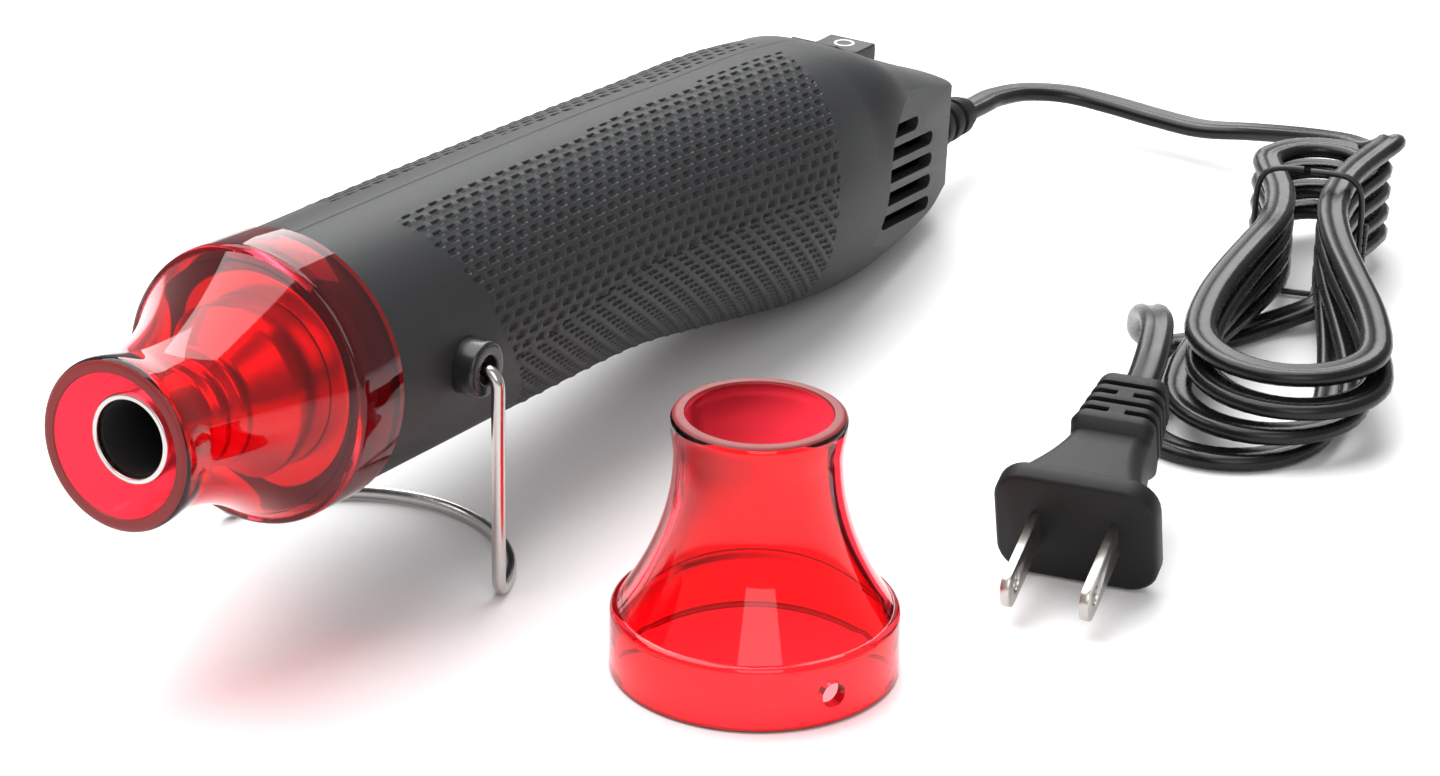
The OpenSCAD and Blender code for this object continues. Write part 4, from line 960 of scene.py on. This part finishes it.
INSIDE = {
    "front_collar": plastic("collar_moulding", (0.012, 0.012, 0.013), 0.42, grain=1200),
    "insulator_sleeve": plastic("mica_wrap", (0.5, 0.36, 0.2), 0.55, grain=250, bump=0.4, mottle=0.3),
    "mica_board_upright": plastic("mica_sheet_a", (0.55, 0.42, 0.26), 0.5, grain=200, bump=0.4, mottle=0.3),
    "mica_board_level": plastic("mica_sheet_b", (0.55, 0.42, 0.26), 0.5, grain=200, bump=0.4, mottle=0.3),
    "heating_coil": plastic("resistance_wire", (0.25, 0.23, 0.21), 0.35, metal=1, grain=900),
    "thermal_cutout": plastic("cutout_case", (0.5, 0.5, 0.5), 0.3, metal=1),
    "fan_duct": plastic("duct_moulding", (0.6, 0.56, 0.45), 0.5, grain=900),
    "fan_impeller": plastic("fan_moulding", (0.4, 0.4, 0.4), 0.45, grain=900),
    "motor_shaft": plastic("ground_shaft", (0.6, 0.6, 0.6), 0.2, metal=1),
    "motor_rotor": plastic("winding_copper", (0.6, 0.25, 0.1), 0.35, metal=1, grain=400, bump=0.5),
    "motor_magnets": plastic("ferrite", (0.05, 0.05, 0.052), 0.7, grain=700),
    "motor_can": plastic("zinc_can", (0.45, 0.46, 0.48), 0.35, metal=1, grain=300, mottle=0.25),
    "motor_end_cap": plastic("cap_moulding", (0.02, 0.02, 0.021), 0.5),
    "rectifier_board": plastic("board_laminate", (0.02, 0.12, 0.05), 0.4, grain=900, mottle=0.2),
    "rectifier_diodes": plastic("diode_case", (0.015, 0.015, 0.015), 0.4),
    "switch_body": plastic("switch_case", (0.014, 0.014, 0.015), 0.45, grain=1200),
    "switch_terminals": plastic("brass_tab", (0.6, 0.42, 0.16), 0.3, metal=1),
    "housing_screws": plastic("screw_zinc", (0.5, 0.5, 0.52), 0.3, metal=1, grain=700),
    "supply_leads": plastic("lead_jacket", (0.16, 0.07, 0.03), 0.45, grain=900),
}
for node, finish in INSIDE.items():
    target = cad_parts[node]
    target.data.materials.clear()
    target.data.materials.append(finish)

# Floor and light

floor_material = plastic("pale_sweep", (0.86, 0.86, 0.865), 0.7, grain=200, bump=0.02, mottle=0.005)
HALF, FLOOR_Z = 3.0, -0.0002
floor_mesh = bpy.data.meshes.new("floor")
corners = [(-HALF, -HALF), (HALF, -HALF), (HALF, HALF), (-HALF, HALF)]
floor_mesh.from_pydata([(x, y, FLOOR_Z) for x, y in corners], [], [(0, 1, 2, 3)])
floor_mesh.materials.append(floor_material)
floor = bpy.data.objects.new("floor", floor_mesh)
bpy.context.scene.collection.objects.link(floor)


def softbox(name, at, look, size, power):
    data = bpy.data.lights.new(name, "AREA")
    data.shape = "RECTANGLE"
    data.size, data.size_y = size
    data.energy = power
    lamp = bpy.data.objects.new(name, data)
    lamp.location = at
    lamp.rotation_mode = "QUATERNION"
    lamp.rotation_quaternion = (Vector(look) - Vector(at)).to_track_quat("-Z", "Y")
    bpy.context.scene.collection.objects.link(lamp)


softbox("top_box", (0.15, 0.45, 1.3), (0, 0, 0), (1.9, 1.4), 37)
softbox("side_box", (-1.0, -0.7, 0.9), (0, 0, 0.03), (0.8, 1.1), 7)
softbox("rear_box", (0.9, 0.5, 0.7), (0.05, 0, 0.03), (0.6, 0.8), 6)
world = bpy.data.worlds.new("studio")
bpy.context.scene.world = world
world.use_nodes = True
world.node_tree.nodes["Background"].inputs["Color"].default_value = (1, 1, 1, 1)
world.node_tree.nodes["Background"].inputs["Strength"].default_value = 0.45
